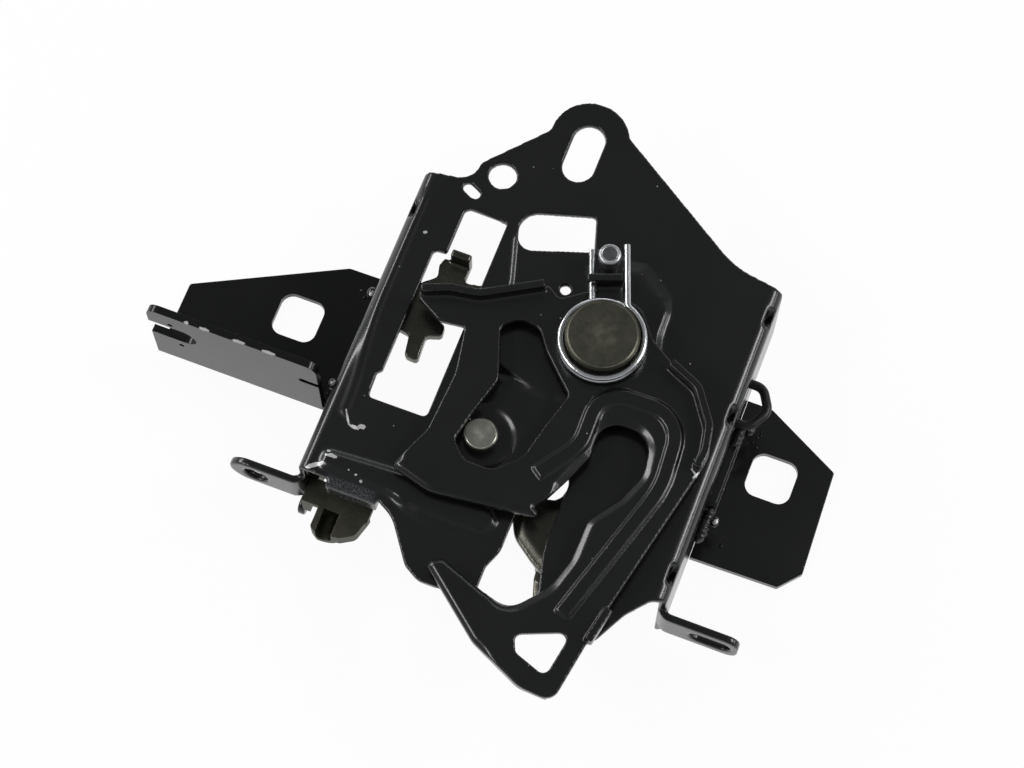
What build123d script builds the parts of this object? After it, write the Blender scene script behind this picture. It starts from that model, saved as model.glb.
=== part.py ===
from build123d import *
from functools import cache
from math import atan2, cos, degrees, radians, sin, sqrt
import os

# Lid lock, lying on the backs of its two wings. Millimetres.
# Origin: middle of the striker's seat, at the front face of the base plate.
# +X to the plate's right, +Y up the plate away from the striker's mouth, +Z out of the plate's front.

# Sheet metal
sheet = 2.5
bend_outer = 4.0
fit_gap = 0.05
seat_gap = 0.3

# Base plate
plate_left = -74.4
plate_right = 46.8
plate_top_left = 84.3
plate_top_right = 85.6
plate_bottom_left = -23.2
plate_bottom_right = -22.5
flange_depth = 33.5
pad_rise = 1.5
ridge_rise = 1.6
seat_radius = 6.0
mouth_depth = 45.0
lobe_radius = 12.9
lobe_x = -28.9
lobe_y = 113.5
slot_length = 20.6
slot_width = 10.3
locating_radius = 4.5
locating_x = -50.4
locating_y = 91.3
setting_x = -17.6
setting_y = 61.0
setting_radius = 1.75
bottom_wall_depth = 8.0
dart_depth = 1.3
dart_width = 7.0

# Main pivot
pivot_y = 46.0
shank_radius = 6.0
bush_radius = 8.0
hub_radius = 15.5
rivet_head_height = 3.4

# Safety catch
catch_back = 4.0
catch_sheet = 2.5
catch_edge_height = 4.5
catch_roll = 1.7
shoulder_drop = 1.5
shoulder_width = 2.6
bead_width = 5.0
bead_rise = 1.1

# Centring spring and its post
centring_wire = 2.0
centring_radius = 13.0
centring_pitch = 2.2
leg_length = 31.0
leg_offset = 2.5
leg_angle = 110.6
post_distance = 27.7
post_radius = 3.1
post_top = 12.6

# Main hook
hook_sheet = 4.0
hook_arm_y = 33.0
hook_gap = 0.6
claw_grip = 4.2

# Hook spring
hook_wire = 3.0
hook_spring_radius = 10.5
hook_spring_turns = 2
hook_spring_pitch = 3.3
loop_reach = 6.2
loop_height = 14.0

# Hook stop
lug_x = -26.5
lug_y = 71.7
lug_angle = 18.7
buffer_depth = 3.0

# Guide rivet
guide_x = -24.8
guide_y = 6.0
guide_head_radius = 5.3
guide_shank_radius = 3.0
dish_radius = 11.0
dish_depth = 1.2

# Mounting ears
ear_front = -10.0
ear_depth = 14.0
ear_left_end = -97.5
ear_right_end = 71.5
ear_hole_radius = 4.0
ear_slot_length = 13.2
ear_slot_height = 6.4

# Wings
wing_back = -36.0
wing_left_end = -138.0
wing_right_end = 81.5
wing_hole = 15.0
wing_hole_corner = 4.0
left_hole_x = -100.2
left_hole_y = 34.0
right_hole_x = 62.5
right_hole_y = 37.0
arm_y = 8.0
arm_right_end = -81.0
lap_bottom = 16.0
lap_top = 45.0
lap_height = 13.0

# Cable holder
cable_x = -61.4
cable_z = -19.0
sleeve_radius = 2.6
trough_wall = 3.6
trough_length = 8.3
side_block_width = 7.0

# Values that follow from the ones above
catch_front = catch_back + catch_sheet
catch_edge_top = catch_front + catch_edge_height
hook_front = -sheet - hook_gap
hook_back = hook_front - hook_sheet
collar_bottom = catch_front + 0.2
head_bottom = collar_bottom + 2 * centring_pitch + 0.2
rivet_top = head_bottom + rivet_head_height
washer_front = hook_back - 0.2
washer_back = washer_front - 1.6
rear_collar_length = hook_wire + hook_spring_turns * hook_spring_pitch + 1.4
tail_front = washer_back - rear_collar_length
tail_back = tail_front - 2.6
wing_front = wing_back + sheet
inner_left = plate_left + sheet
inner_right = plate_right - sheet
pivot = Vector(0, pivot_y, 0)
leg_spread = 0.84 * centring_radius
joint_swell = 0.03
rivet_head_radius = centring_radius - centring_wire / 2 - 0.3


def outline(*corners):
    """Closed face from (x, y) or (x, y, fillet radius) corners, facing forward."""
    points = [(corner[0], corner[1]) for corner in corners]
    radii = [corner[2] if len(corner) > 2 else 0 for corner in corners]
    face = make_face(FilletPolyline(*points, radius=radii, close=True)).face()
    return -face if face.normal_at().Z < 0 else face


def slab(face, low, high):
    """Face in the XY plane made solid between two heights."""
    return Pos(0, 0, low) * extrude(face, amount=high - low, dir=(0, 0, 1))


def block(x0, x1, y0, y1, z0, z1):
    """Box given by its limits."""
    return Pos((x0 + x1) / 2, (y0 + y1) / 2, (z0 + z1) / 2) * Box(x1 - x0, y1 - y0, z1 - z0)


def rod(x, y, radius, low, high):
    """Upright cylinder between two heights."""
    return Pos(x, y, (low + high) / 2) * Cylinder(radius, high - low)


def rod_along_x(y, z, radius, x0, x1):
    """Cylinder along X between two places."""
    return Pos((x0 + x1) / 2, y, z) * Rot(0, 90, 0) * Cylinder(radius, x1 - x0)


def rod_along_y(x, z, radius, y0, y1):
    """Cylinder along Y between two places."""
    return Pos(x, (y0 + y1) / 2, z) * Rot(90, 0, 0) * Cylinder(radius, y1 - y0)


def wire_run(points, bend, radius):
    """Round wire along straight runs joined by bends of one radius."""
    path = FilletPolyline(*points, radius=bend) if len(points) > 2 else Line(*points)
    section = Plane(origin=points[0], z_dir=path % 0) * Circle(radius)
    return sweep(section, path=path)


def sole(shape):
    """The one solid of a finished shape."""
    solids = shape.solids()
    assert len(solids) == 1, f"{len(solids)} solids where one was meant"
    return solids[0]


def mouth_face():
    """Striker's way in: a straight slot that flares towards its mouth."""
    flare = outline(
        (-seat_radius, 0),
        (-seat_radius, -26.0, 6),
        (-8.4, -32.0, 2),
        (-8.4, -mouth_depth),
        (9.6, -mouth_depth),
        (9.2, -33.0, 4),
        (seat_radius, -21.0, 8),
        (seat_radius, 0),
    )
    return flare + Circle(seat_radius)


def plate_outline():
    """Outline of the base plate seen from the front."""
    lobe_left = lobe_x - lobe_radius
    neck_rise = 4.9
    neck_x = lobe_x + sqrt(lobe_radius ** 2 - neck_rise ** 2)
    lobe = Pos(lobe_x, lobe_y) * Circle(lobe_radius)
    return lobe + outline(
        (plate_left, plate_top_left, 0.8),
        (-59.3, plate_top_left + 2.2, 6.5),
        (-58.4, 93.4, 2.0),
        (lobe_left, lobe_y - 1.4, 3.5),
        (lobe_left, lobe_y),
        (lobe_x, lobe_y),
        (neck_x, lobe_y + neck_rise),
        (29.5, 88.2, 28),
        (plate_right, plate_top_right, 0.8),
        (plate_right, plate_bottom_right, 0.8),
        (42.0, -24.4, 3),
        (36.2, -31.2, 12),
        (30.4, -42.4, 2.4),
        (22.0, -41.2, 5),
        (0.0, -39.0),
        (-14.0, -43.4, 3),
        (-26.2, -43.6, 5),
        (-31.6, -40.6, 5),
        (-41.0, -27.6, 12),
        (-47.0, plate_bottom_left - 1.0, 2),
        (-63.5, plate_bottom_left, 0.5),
        (plate_left, plate_bottom_left + 0.4, 0.8),
    )


def channel():
    """Flat web with a flange bent back along each side."""
    low_y = plate_bottom_left - 25
    high_y = lobe_y + lobe_radius + 1
    skin = block(plate_left, plate_right, low_y, high_y, -flange_depth, 0)
    ridges = skin.edges().filter_by(Axis.Y).group_by(Axis.Z)[-1]
    skin = fillet(ridges, bend_outer)
    core = block(inner_left, inner_right, low_y - 1, high_y + 1, -flange_depth - 1, -sheet)
    ridges = core.edges().filter_by(Axis.Y).group_by(Axis.Z)[-1]
    core = fillet(ridges, bend_outer - sheet)
    return skin - core


def left_window():
    """Tall stepped window over the hook's arm."""
    return outline(
        (-43.0, 76.4, 0.8),
        (-57.2, 77.0, 2.0),
        (-57.2, 60.0, 0.8),
        (-61.5, 59.6, 1.2),
        (-61.5, 15.6, 0.6),
        (-62.8, 14.8, 0.6),
        (-62.4, 6.0, 1.5),
        (-43.0, 6.2, 1.5),
    )


def upper_window():
    """Slanted window above the pivot, rounded at its left."""
    return outline((-40.8, 81.6, 6.5), (-17.4, 88.6, 1.2), (-13.6, 76.2, 1.0), (-36.6, 68.4, 4.5))


def pad_outline():
    """Pressed pad round the main pivot."""
    return outline(
        (-40.2, 75.0, 3),
        (-34.9, 57.0, 10),
        (-34.2, 30.0, 5),
        (-16.0, 25.6, 10),
        (8.0, 24.6, 10),
        (20.0, 33.0, 8),
        (18.6, 48.0, 14),
        (16.2, 57.0, 14),
        (15.8, 72.0, 4),
        (4.0, 80.5, 4),
        (-13.4, 77.6, 3),
    )


def ridge_outline():
    """Stiffening ridge between the left flange and the mouth."""
    return outline(
        (-68.6, -21.2, 2),
        (-45.4, -22.0, 8),
        (-34.0, -24.2, 8),
        (-13.0, -24.2, 3),
        (-9.0, -18.5, 3),
        (-13.0, -13.6, 3),
        (-46.0, -13.0, 20),
        (-68.6, -14.4, 2),
    )


def pressed_up(face, rise, slope=45.0):
    """Raised layer and the hollow behind it, for a pressing of constant sheet."""
    raised = extrude(face, amount=rise, dir=(0, 0, 1), taper=slope)
    hollow = Pos(0, 0, -sheet) * extrude(face, amount=rise, dir=(0, 0, 1), taper=slope)
    return raised, hollow


def bend_dart(side_x, y):
    """V-shaped dent across a bend, and the gusset it leaves inside."""
    inward = 1 if side_x < 0 else -1
    edge_x = side_x + inward * bend_outer * 0.3
    edge_z = -bend_outer * 0.3
    turned = Pos(edge_x, y, edge_z) * Rot(0, inward * 45, 0)
    dent = turned * Rot(0, 0, 45) * Box(dart_width / sqrt(2), dart_width / sqrt(2), 2 * dart_depth)
    rib_x = side_x + inward * (sheet + 1.6)
    rib = Pos(rib_x, y, -sheet - 1.6) * Rot(0, inward * 45, 0) * Box(dart_width, sheet, 3.2)
    return dent, rib


def ear(side):
    """Mounting ear that a flange's lower end is bent out into."""
    outer = plate_left if side < 0 else plate_right
    end = ear_left_end if side < 0 else ear_right_end
    outer_bend = bend_outer + 0.5
    inner_bend = outer_bend - sheet
    front_y = plate_bottom_left
    back_y = front_y - sheet
    inner = outer - side * sheet
    strip = FilletPolyline(
        (inner, front_y + 12),
        (inner, back_y),
        (end, back_y),
        (end, front_y),
        (outer, front_y),
        (outer, front_y + 12),
        radius=[0, outer_bend, 0, 0, inner_bend, 0],
        close=True,
    )
    tab = slab(make_face(strip), ear_front - ear_depth, ear_front)
    middle = ear_front - ear_depth / 2
    if side < 0:
        rounded = Pos(end + ear_depth / 2, back_y + sheet / 2, middle) * Rot(90, 0, 0)
        keep = rounded * Cylinder(ear_depth / 2, 3 * sheet)
        keep += block(end + ear_depth / 2, outer + 10, back_y - 5, front_y + 13, -flange_depth, 0)
        tab = tab & keep
        tab -= rod_along_y(end + 9.0, middle, ear_hole_radius, back_y - 1, front_y + 1)
    else:
        corners = [edge for edge in tab.edges().filter_by(Axis.Y) if edge.center().X > end - 0.1]
        tab = fillet(corners, 4.0)
        half = (ear_slot_length - ear_slot_height) / 2
        slot_x = end - 9.0
        slot = block(slot_x - half, slot_x + half, back_y - 1, front_y + 1,
                     middle - ear_slot_height / 2, middle + ear_slot_height / 2)
        for x in (slot_x - half, slot_x + half):
            slot += rod_along_y(x, middle, ear_slot_height / 2, back_y - 1, front_y + 1)
        tab -= slot
    return tab


def stop_point(along, down):
    """Point given along and below the stop lug's upper face."""
    turn = radians(lug_angle)
    return (lug_x + along * cos(turn) + down * sin(turn), lug_y + along * sin(turn) - down * cos(turn))


def stop_lug():
    """Lug bent back from the upper window's lower edge; it carries the hook's buffer."""
    lug = block(-5.5, 5.5, -sheet, 0, -sheet - 7.5, -0.5)
    return Pos(lug_x, lug_y, 0) * Rot(0, 0, lug_angle) * lug


@cache
def pressed_plate():
    """Whole pressed plate: web, flanges, ears, windows, pad, ridge and striker's mouth."""
    plate = channel() & slab(plate_outline(), -flange_depth - 1, 1)
    pad, pad_hollow = pressed_up(pad_outline(), pad_rise)
    ridge, ridge_hollow = pressed_up(ridge_outline(), ridge_rise)
    plate = plate + pad + ridge - pad_hollow - ridge_hollow
    dish = Pos(guide_x, guide_y, -dish_depth) * extrude(Circle(dish_radius - dish_depth),
                                                        amount=dish_depth, taper=-45)
    bulge = Pos(guide_x, guide_y, -sheet - dish_depth) * extrude(Circle(dish_radius - dish_depth),
                                                                 amount=dish_depth, taper=-45)
    plate = plate + bulge - dish
    for side_x, y in ((plate_left, 71.0), (plate_right, 76.0), (plate_right, 41.0), (plate_right, -14.0)):
        dent, rib = bend_dart(side_x, y)
        plate = plate + rib - dent
    plate -= slab(mouth_face(), -flange_depth - 1, pad_rise + 2)
    plate -= slab(left_window(), -sheet - 1, 1)
    plate -= slab(upper_window(), -sheet - 1, pad_rise + 1)
    slot = Pos(lobe_x, 108.0, 0) * Rot(0, 0, 90) * SlotOverall(slot_length, slot_width)
    plate -= slab(slot, -sheet - 1, 1)
    small_slot = Pos(-57.8, 82.9, 0) * Rot(0, 0, -26) * SlotOverall(6.6, 3.4)
    plate -= slab(small_slot, -sheet - 1, 1)
    plate -= rod(locating_x, locating_y, locating_radius, -sheet - 1, 1)
    plate -= rod(setting_x, setting_y, setting_radius, -sheet - 1, pad_rise + 1)
    plate -= rod(0, pivot_y, shank_radius, -sheet - 1, pad_rise + 1)
    plate -= rod(guide_x, guide_y, guide_shank_radius, -sheet - dish_depth - 1, 1)
    post = post_place()
    plate -= rod(post.X, post.Y, post_radius - 0.6, -sheet - 1, pad_rise + 1)
    bottom_wall = block(-64.0, -47.4, plate_bottom_left - sheet, plate_bottom_left + 1.0, -bottom_wall_depth, 0)
    rim = bottom_wall.edges().filter_by(Axis.X).group_by(Axis.Z)[-1].sort_by(Axis.Y)[0]
    plate += fillet(rim, bend_outer - 1.7)
    plate += ear(-1) + ear(1)
    tail = block(plate_left, inner_left, plate_bottom_left - 5.4, plate_bottom_left + 2, -flange_depth, -flange_depth + 7)
    tail_ends = tail.edges().filter_by(Axis.X).group_by(Axis.Y)[0]
    plate += fillet(tail_ends, 3.2)
    plate += stop_lug()
    loop_middle = pivot_y - hook_spring_radius + 7.0 + loop_height / 2
    plate -= block(inner_right - 1, plate_right + 1, loop_middle - loop_height / 2 - 2.2,
                   loop_middle + loop_height / 2 + 2.2, anchor_height() - 2.0, anchor_height() + 2.0)
    plate -= rod_along_x(rivet_y(), cable_z, 2.0, plate_left - 1, inner_left + 1)
    return sole(plate)


def flange_zone(side):
    """Space that holds one side's flange and ear, below the bend."""
    inner_reach = 8.6
    if side < 0:
        return block(plate_left - 60, plate_left + inner_reach, -90, 160, -flange_depth - 5, -bend_outer)
    return block(plate_right - inner_reach, plate_right + 60, -90, 160, -flange_depth - 5, -bend_outer)


def base_plate():
    """Front of the pressed plate down to the end of both bends."""
    return sole(pressed_plate() - flange_zone(-1) - flange_zone(1))


def plate_flange(side):
    """One flange of the pressed plate with its ear."""
    return sole(pressed_plate() & flange_zone(side))


def anchor_height():
    """Height of the hook spring's anchor leg."""
    return washer_back - 0.2 - hook_wire / 2


def rivet_y():
    """Place along Y of the cable holder's rivet."""
    return plate_bottom_left + 13.0


def wing_window(x, y):
    """Square mounting hole of a wing."""
    hole = Pos(x, y, 0) * RectangleRounded(wing_hole, wing_hole, wing_hole_corner)
    return slab(hole, wing_back - 1, wing_front + 1)


def left_wing_bracket():
    """Wing plate whose lower edge stands forward as an arm with a fork end."""
    flange_face = plate_left - 0.05
    plate = slab(outline(
        (wing_left_end, arm_y, 0),
        (wing_left_end, 32.4, 1.2),
        (-91.0, 56.3, 2.5),
        (flange_face, 56.5, 0),
        (flange_face, arm_y + 1.8, 0),
        (arm_right_end, arm_y, 1.0),
    ), wing_back, wing_front)
    plate -= wing_window(left_hole_x, left_hole_y)
    lap = block(flange_face - sheet, flange_face, lap_bottom, lap_top, wing_back + 0.6, wing_front + lap_height)
    ends = lap.edges().filter_by(Axis.X).group_by(Axis.Z)[-1]
    plate += fillet(ends, 3.0)
    arm = block(wing_left_end - 1.0, arm_right_end, arm_y, arm_y + sheet, wing_back, 0)
    ends = arm.edges().filter_by(Axis.Y).group_by(Axis.Z)[-1]
    arm = fillet(ends, 4.0)
    fork_z = -14.0
    fork = block(wing_left_end - 2, -127.6, arm_y - 1, arm_y + sheet + 1, fork_z - 4.6, fork_z + 4.6)
    fork += rod_along_y(-127.6, fork_z, 4.6, arm_y - 1, arm_y + sheet + 1)
    relief = block(-86.4, arm_right_end + 1, arm_y - 1, arm_y + sheet + 1, -15.3, -12.7)
    relief += rod_along_y(-86.4, -14.0, 1.3, arm_y - 1, arm_y + sheet + 1)
    arm = arm - fork - relief
    for x, z in ((-131.2, -7.0), (-129.0, -22.4)):
        arm -= rod_along_y(x, z, 0.9, arm_y - 1, arm_y + sheet + 1)
    return sole(plate + arm)


def right_wing_bracket():
    """Five-cornered wing plate with a lap flange against the base plate's flange."""
    flange_face = plate_right + 0.05
    plate = slab(outline(
        (flange_face, 3.0, 0),
        (76.0, 3.6, 1.0),
        (wing_right_end + 0.6, 10.6, 1.0),
        (wing_right_end - 0.8, 46.0, 1.0),
        (55.0, 59.4, 3.5),
        (flange_face, 59.4, 0),
    ), wing_back, wing_front)
    plate -= wing_window(right_hole_x, right_hole_y)
    lap = block(flange_face, flange_face + sheet, lap_bottom, lap_top, wing_back + 0.6, wing_front + lap_height)
    ends = lap.edges().filter_by(Axis.X).group_by(Axis.Z)[-1]
    plate += fillet(ends, 3.0)
    return sole(plate)


def weld_bead(side):
    """Fillet weld along a lap flange's front edge, with a droplet at each end."""
    outer = plate_left if side < 0 else plate_right
    edge_z = wing_front + lap_height
    bead = None
    count = 14
    for index in range(count):
        y = lap_bottom + 1.5 + (lap_top - lap_bottom - 3.0) * index / (count - 1)
        bump = Pos(outer + side * 1.1, y, edge_z + 0.4) * Sphere(1.35 + 0.18 * (index % 3))
        bead = bump if bead is None else bead + bump
    bead += rod_along_y(outer + side * 1.1, edge_z + 0.4, 1.25, lap_bottom + 1.5, lap_top - 1.5)
    for y in (lap_bottom - 1.6, lap_top + 1.6):
        drop = Pos(outer + side * 2.0, y, edge_z - 0.6) * Sphere(1.9)
        bead += drop + rod_along_y(outer + side * 1.4, edge_z, 1.0, min(y, lap_bottom + 2), max(y, lap_top - 2))
    inside = block(outer - side * 8, outer, lap_bottom - 8, lap_top + 8, edge_z - 8, edge_z + 8) \
        if side > 0 else block(outer, outer + 8, lap_bottom - 8, lap_top + 8, edge_z - 8, edge_z + 8)
    face = outer + side * 0.05
    low = min(face, face + side * sheet)
    high = max(face, face + side * sheet)
    lap = block(low, high, lap_bottom, lap_top, edge_z - 20, edge_z)
    return sole(bead - inside - lap)


def post_place():
    """Where the spring post stands, from the pivot along the legs."""
    return spring_point(leg_offset, post_distance)


def spring_point(across, along):
    """Point given across and along the centring spring's legs, from the pivot."""
    turn = radians(leg_angle)
    x = across * sin(turn) + along * cos(turn)
    y = -across * cos(turn) + along * sin(turn)
    return Vector(x, y + pivot_y, 0)


def pivot_rivet():
    """Stepped main rivet with a wide low head and a formed tail."""
    head = rod(0, pivot_y, rivet_head_radius, head_bottom, rivet_top)
    rim = head.edges().filter_by(GeomType.CIRCLE).group_by(Axis.Z)[-1]
    head = chamfer(rim, 0.9, 1.1)
    shank = rod(0, pivot_y, shank_radius - fit_gap, tail_front, head_bottom)
    tail = rod(0, pivot_y, 10.0, tail_back, tail_front)
    rim = tail.edges().filter_by(GeomType.CIRCLE).group_by(Axis.Z)[0]
    return sole(head + shank + chamfer(rim, 1.0))


def ring(outer, inner, low, high):
    """Plain ring round the main pivot."""
    return rod(0, pivot_y, outer, low, high) - rod(0, pivot_y, inner, low - 1, high + 1)


def catch_bush():
    """Flanged bush that the safety catch turns on."""
    bush = rod(0, pivot_y, 11.0, pad_rise, catch_back - 0.15)
    bush += rod(0, pivot_y, bush_radius, catch_back - 0.15, collar_bottom)
    return sole(bush - rod(0, pivot_y, shank_radius, 0, head_bottom))


def spring_collar():
    """Collar inside the centring spring, under the rivet's head."""
    return sole(ring(centring_radius - centring_wire / 2 - 0.5, shank_radius, collar_bottom, head_bottom))


def hook_bush():
    """Flanged bush that the main hook turns on."""
    plate_back = pad_rise - sheet
    bush = rod(0, pivot_y, 11.0, hook_front + 0.15, plate_back)
    bush += rod(0, pivot_y, bush_radius, washer_front, hook_front + 0.15)
    return sole(bush - rod(0, pivot_y, shank_radius, washer_front - 1, 1))


def rear_washer():
    """Washer between the main hook and its spring."""
    return sole(ring(12.5, shank_radius, washer_back, washer_front))


def rear_collar():
    """Collar inside the hook spring."""
    return sole(ring(hook_spring_radius - hook_wire / 2 - 0.5, shank_radius, tail_front, washer_back))


def spring_post():
    """Headed post between the centring spring's legs."""
    place = post_place()
    post = rod(place.X, place.Y, post_radius, pad_rise, post_top)
    rim = post.edges().filter_by(GeomType.CIRCLE).group_by(Axis.Z)[-1]
    post = fillet(rim, 0.9)
    post += rod(place.X, place.Y, post_radius - 0.6 - fit_gap, -sheet, pad_rise)
    tail = rod(place.X, place.Y, 3.6, pad_rise - sheet - 1.6, pad_rise - sheet)
    rim = tail.edges().filter_by(GeomType.CIRCLE).group_by(Axis.Z)[0]
    return sole(post + fillet(rim, 0.8))


def guide_rivet():
    """Low pale rivet that the safety catch glides over."""
    seat = -dish_depth
    top = catch_back - 0.4
    head = rod(guide_x, guide_y, guide_head_radius, seat, top)
    rim = head.edges().filter_by(GeomType.CIRCLE).group_by(Axis.Z)[-1]
    head = chamfer(rim, 0.5, 0.6)
    shank = rod(guide_x, guide_y, guide_shank_radius - fit_gap, seat - sheet - 1.4, seat)
    tail = rod(guide_x, guide_y, 4.6, seat - sheet - 3.2, seat - sheet - 1.4)
    rim = tail.edges().filter_by(GeomType.CIRCLE).group_by(Axis.Z)[0]
    return sole(head + shank + fillet(rim, 0.9))


def guide_washer():
    """Washer between the plate's back and the guide rivet's formed tail."""
    back = -dish_depth - sheet
    disc = rod(guide_x, guide_y, 7.5, back - 1.4, back)
    return sole(disc - rod(guide_x, guide_y, guide_shank_radius, back - 2, back + 1))


def cable_bracket():
    """Holder for the cable's sleeve: body with an open trough, a bar across it and a riveted leg."""
    front_y = plate_bottom_left - sheet - 0.2
    back_y = front_y - sheet
    low_y = back_y - trough_length
    left = inner_left + 0.05
    outer = sleeve_radius + 2.0
    right = cable_x + outer + side_block_width
    top = cable_z + trough_wall
    body = rod_along_y(cable_x, cable_z, outer, low_y, front_y)
    body += block(cable_x - outer, right, low_y, front_y, cable_z - 2.0, top)
    shape = outline(
        (cable_x - outer, front_y),
        (cable_x - outer, low_y + 1.2, 1.2),
        (cable_x - outer + 2.4, low_y, 1.0),
        (cable_x + outer + 0.6, low_y + 0.8, 2.0),
        (right - 2.0, low_y + 3.4, 3.0),
        (right - 0.2, front_y - 1.2, 0.6),
        (right, front_y),
    )
    body = body & slab(shape, cable_z - 2 * outer, top)
    body -= rod_along_y(cable_x, cable_z, sleeve_radius, low_y - 1, front_y + 1)
    body -= block(cable_x - sleeve_radius, cable_x + sleeve_radius, low_y - 1, back_y, cable_z, top + 1)
    tuck_y = plate_bottom_left + 3.0
    bar = block(left, right, back_y, tuck_y, top - sheet, top)
    bar -= rod_along_y(cable_x, cable_z, sleeve_radius, back_y - 1, tuck_y + 1)
    leg = block(left, left + sheet, back_y, rivet_y() + 6.0, cable_z - 6.0, top)
    ends = leg.edges().filter_by(Axis.X).group_by(Axis.Y)[-1]
    leg = fillet(ends, 4.0)
    leg -= rod_along_x(rivet_y(), cable_z, 2.0, left - 1, left + sheet + 1)
    return sole(body + bar + leg)


def cable_bracket_rivet():
    """Rivet that holds the cable holder's leg to the left flange."""
    inside = inner_left + 0.05 + sheet
    y = rivet_y()
    body = rod_along_x(y, cable_z, 2.0 - fit_gap, plate_left, inside)
    head = rod_along_x(y, cable_z, 3.8, plate_left - 1.8, plate_left)
    rim = head.edges().filter_by(GeomType.CIRCLE).group_by(Axis.X)[0]
    head = fillet(rim, 1.2)
    tail = rod_along_x(y, cable_z, 3.4, inside, inside + 1.4)
    return sole(body + head + tail)


def hook_stop_buffer():
    """Rubber block under the stop lug, where the hook's arm comes to rest."""
    rubber = block(-4.5, 4.5, -sheet - buffer_depth, -sheet, -9.2, -3.0)
    rubber = fillet(rubber.edges().filter_by(Axis.Z), 0.8)
    return sole(Pos(lug_x, lug_y, 0) * Rot(0, 0, lug_angle) * rubber)


def catch_blank():
    """Outline of the safety catch, with its mouth and keyhole open to the edge."""
    return outline(
        (-59.6, 42.8, 1.2),
        (-50.5, 46.6, 8),
        (-41.0, 48.0, 10),
        (-22.3, 58.8, 2),
        (-17.6, 55.6, 2),
        (-10.5, 61.0, 3),
        (7.0, 62.5, 6),
        (14.5, 53.0, 6),
        (22.8, 47.9, 3),
        (33.8, 43.2, 5),
        (41.6, 31.8, 8),
        (43.4, 22.6, 8),
        (42.4, 17.2, 3),
        (35.2, -15.6, 30),
        (30.2, -38.5, 20),
        (25.7, -65.8, 4.5),
        (14.7, -65.0, 12),
        (-3.2, -56.8, 30),
        (-25.2, -38.8, 1.5),
        (-20.8, -35.8, 2),
        (-5.6, -41.3, 8),
        (3.8, -43.0, 7),
        (12.4, -33.0, 8),
        (15.5, -22.0, 12),
        (15.6, -9.0, 8),
        (22.8, 1.0, 10),
        (26.6, 10.6, 8),
        (24.6, 23.4, 7.5),
        (8.6, 23.4, 7),
        (9.4, 10.4, 3),
        (6.4, 2.4, 20),
        (1.8, -7.4, 3),
        (-0.9, -10.8, 0.8),
        (2.3, -13.6, 1.0),
        (-10.5, -15.2, 20),
        (-32.4, -17.8, 12),
        (-46.3, -14.0, 1.5),
        (-40.2, 0.8, 12),
        (-39.0, 21.0, 12),
        (-41.8, 36.2, 1.0),
        (-50.0, 35.2, 3),
        (-58.8, 40.0, 1.0),
    )


def keyhole_void():
    """Free space of the safety catch's keyhole and channel."""
    return outline(
        (-4.0, -30.0),
        (-2.0, -42.3, 3),
        (3.8, -43.0, 6),
        (12.4, -33.0, 8),
        (15.5, -22.0, 12),
        (15.6, -9.0, 8),
        (22.8, 1.0, 10),
        (26.6, 10.6, 8),
        (24.6, 23.4, 7.5),
        (8.6, 23.4, 7),
        (9.4, 10.4, 3),
        (6.4, 2.4, 10),
        (4.6, -2.0),
        (6.0, -14.0),
    )


def catch_window():
    """Window of the safety catch over the guide rivet."""
    return outline(
        (-31.6, 40.6, 3),
        (-26.4, 45.1, 6),
        (-19.8, 43.9, 3),
        (-15.2, 37.6, 8),
        (-3.6, 26.4, 1.5),
        (-7.0, 14.5, 10),
        (-9.6, 3.0, 6),
        (-17.0, -4.6, 6),
        (-26.0, -4.6, 5),
        (-31.4, 0.6, 3),
        (-29.4, 10.0, 3),
        (-25.6, 23.6, 6),
    )


def edge_wall(points, radius, low, high):
    """Upright wall of one sheet along the inner side of a turned edge."""
    path = FilletPolyline(*points, radius=radius) if len(points) > 2 else Line(*points)
    strip = trace(path, catch_sheet)
    return slab(strip, low, high)


def crook_bead():
    """Crook-shaped stiffening bead that runs round the keyhole."""
    path = FilletPolyline(
        (-3.8, -1.2), (5.6, 12.4), (5.2, 31.6), (31.6, 32.4), (33.4, 8.0), (18.9, -40.2),
        radius=[12, 9, 11, 30],
    )
    ridge = slab(trace(path, bead_width), catch_front - 0.2, catch_front + bead_rise)
    ridge = fillet(ridge.faces().sort_by(Axis.Z)[-1].edges(), bead_rise - 0.1)
    hollow = slab(trace(path, bead_width - 2.6), catch_back - 1, catch_back + 0.6)
    return ridge, hollow


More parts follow.
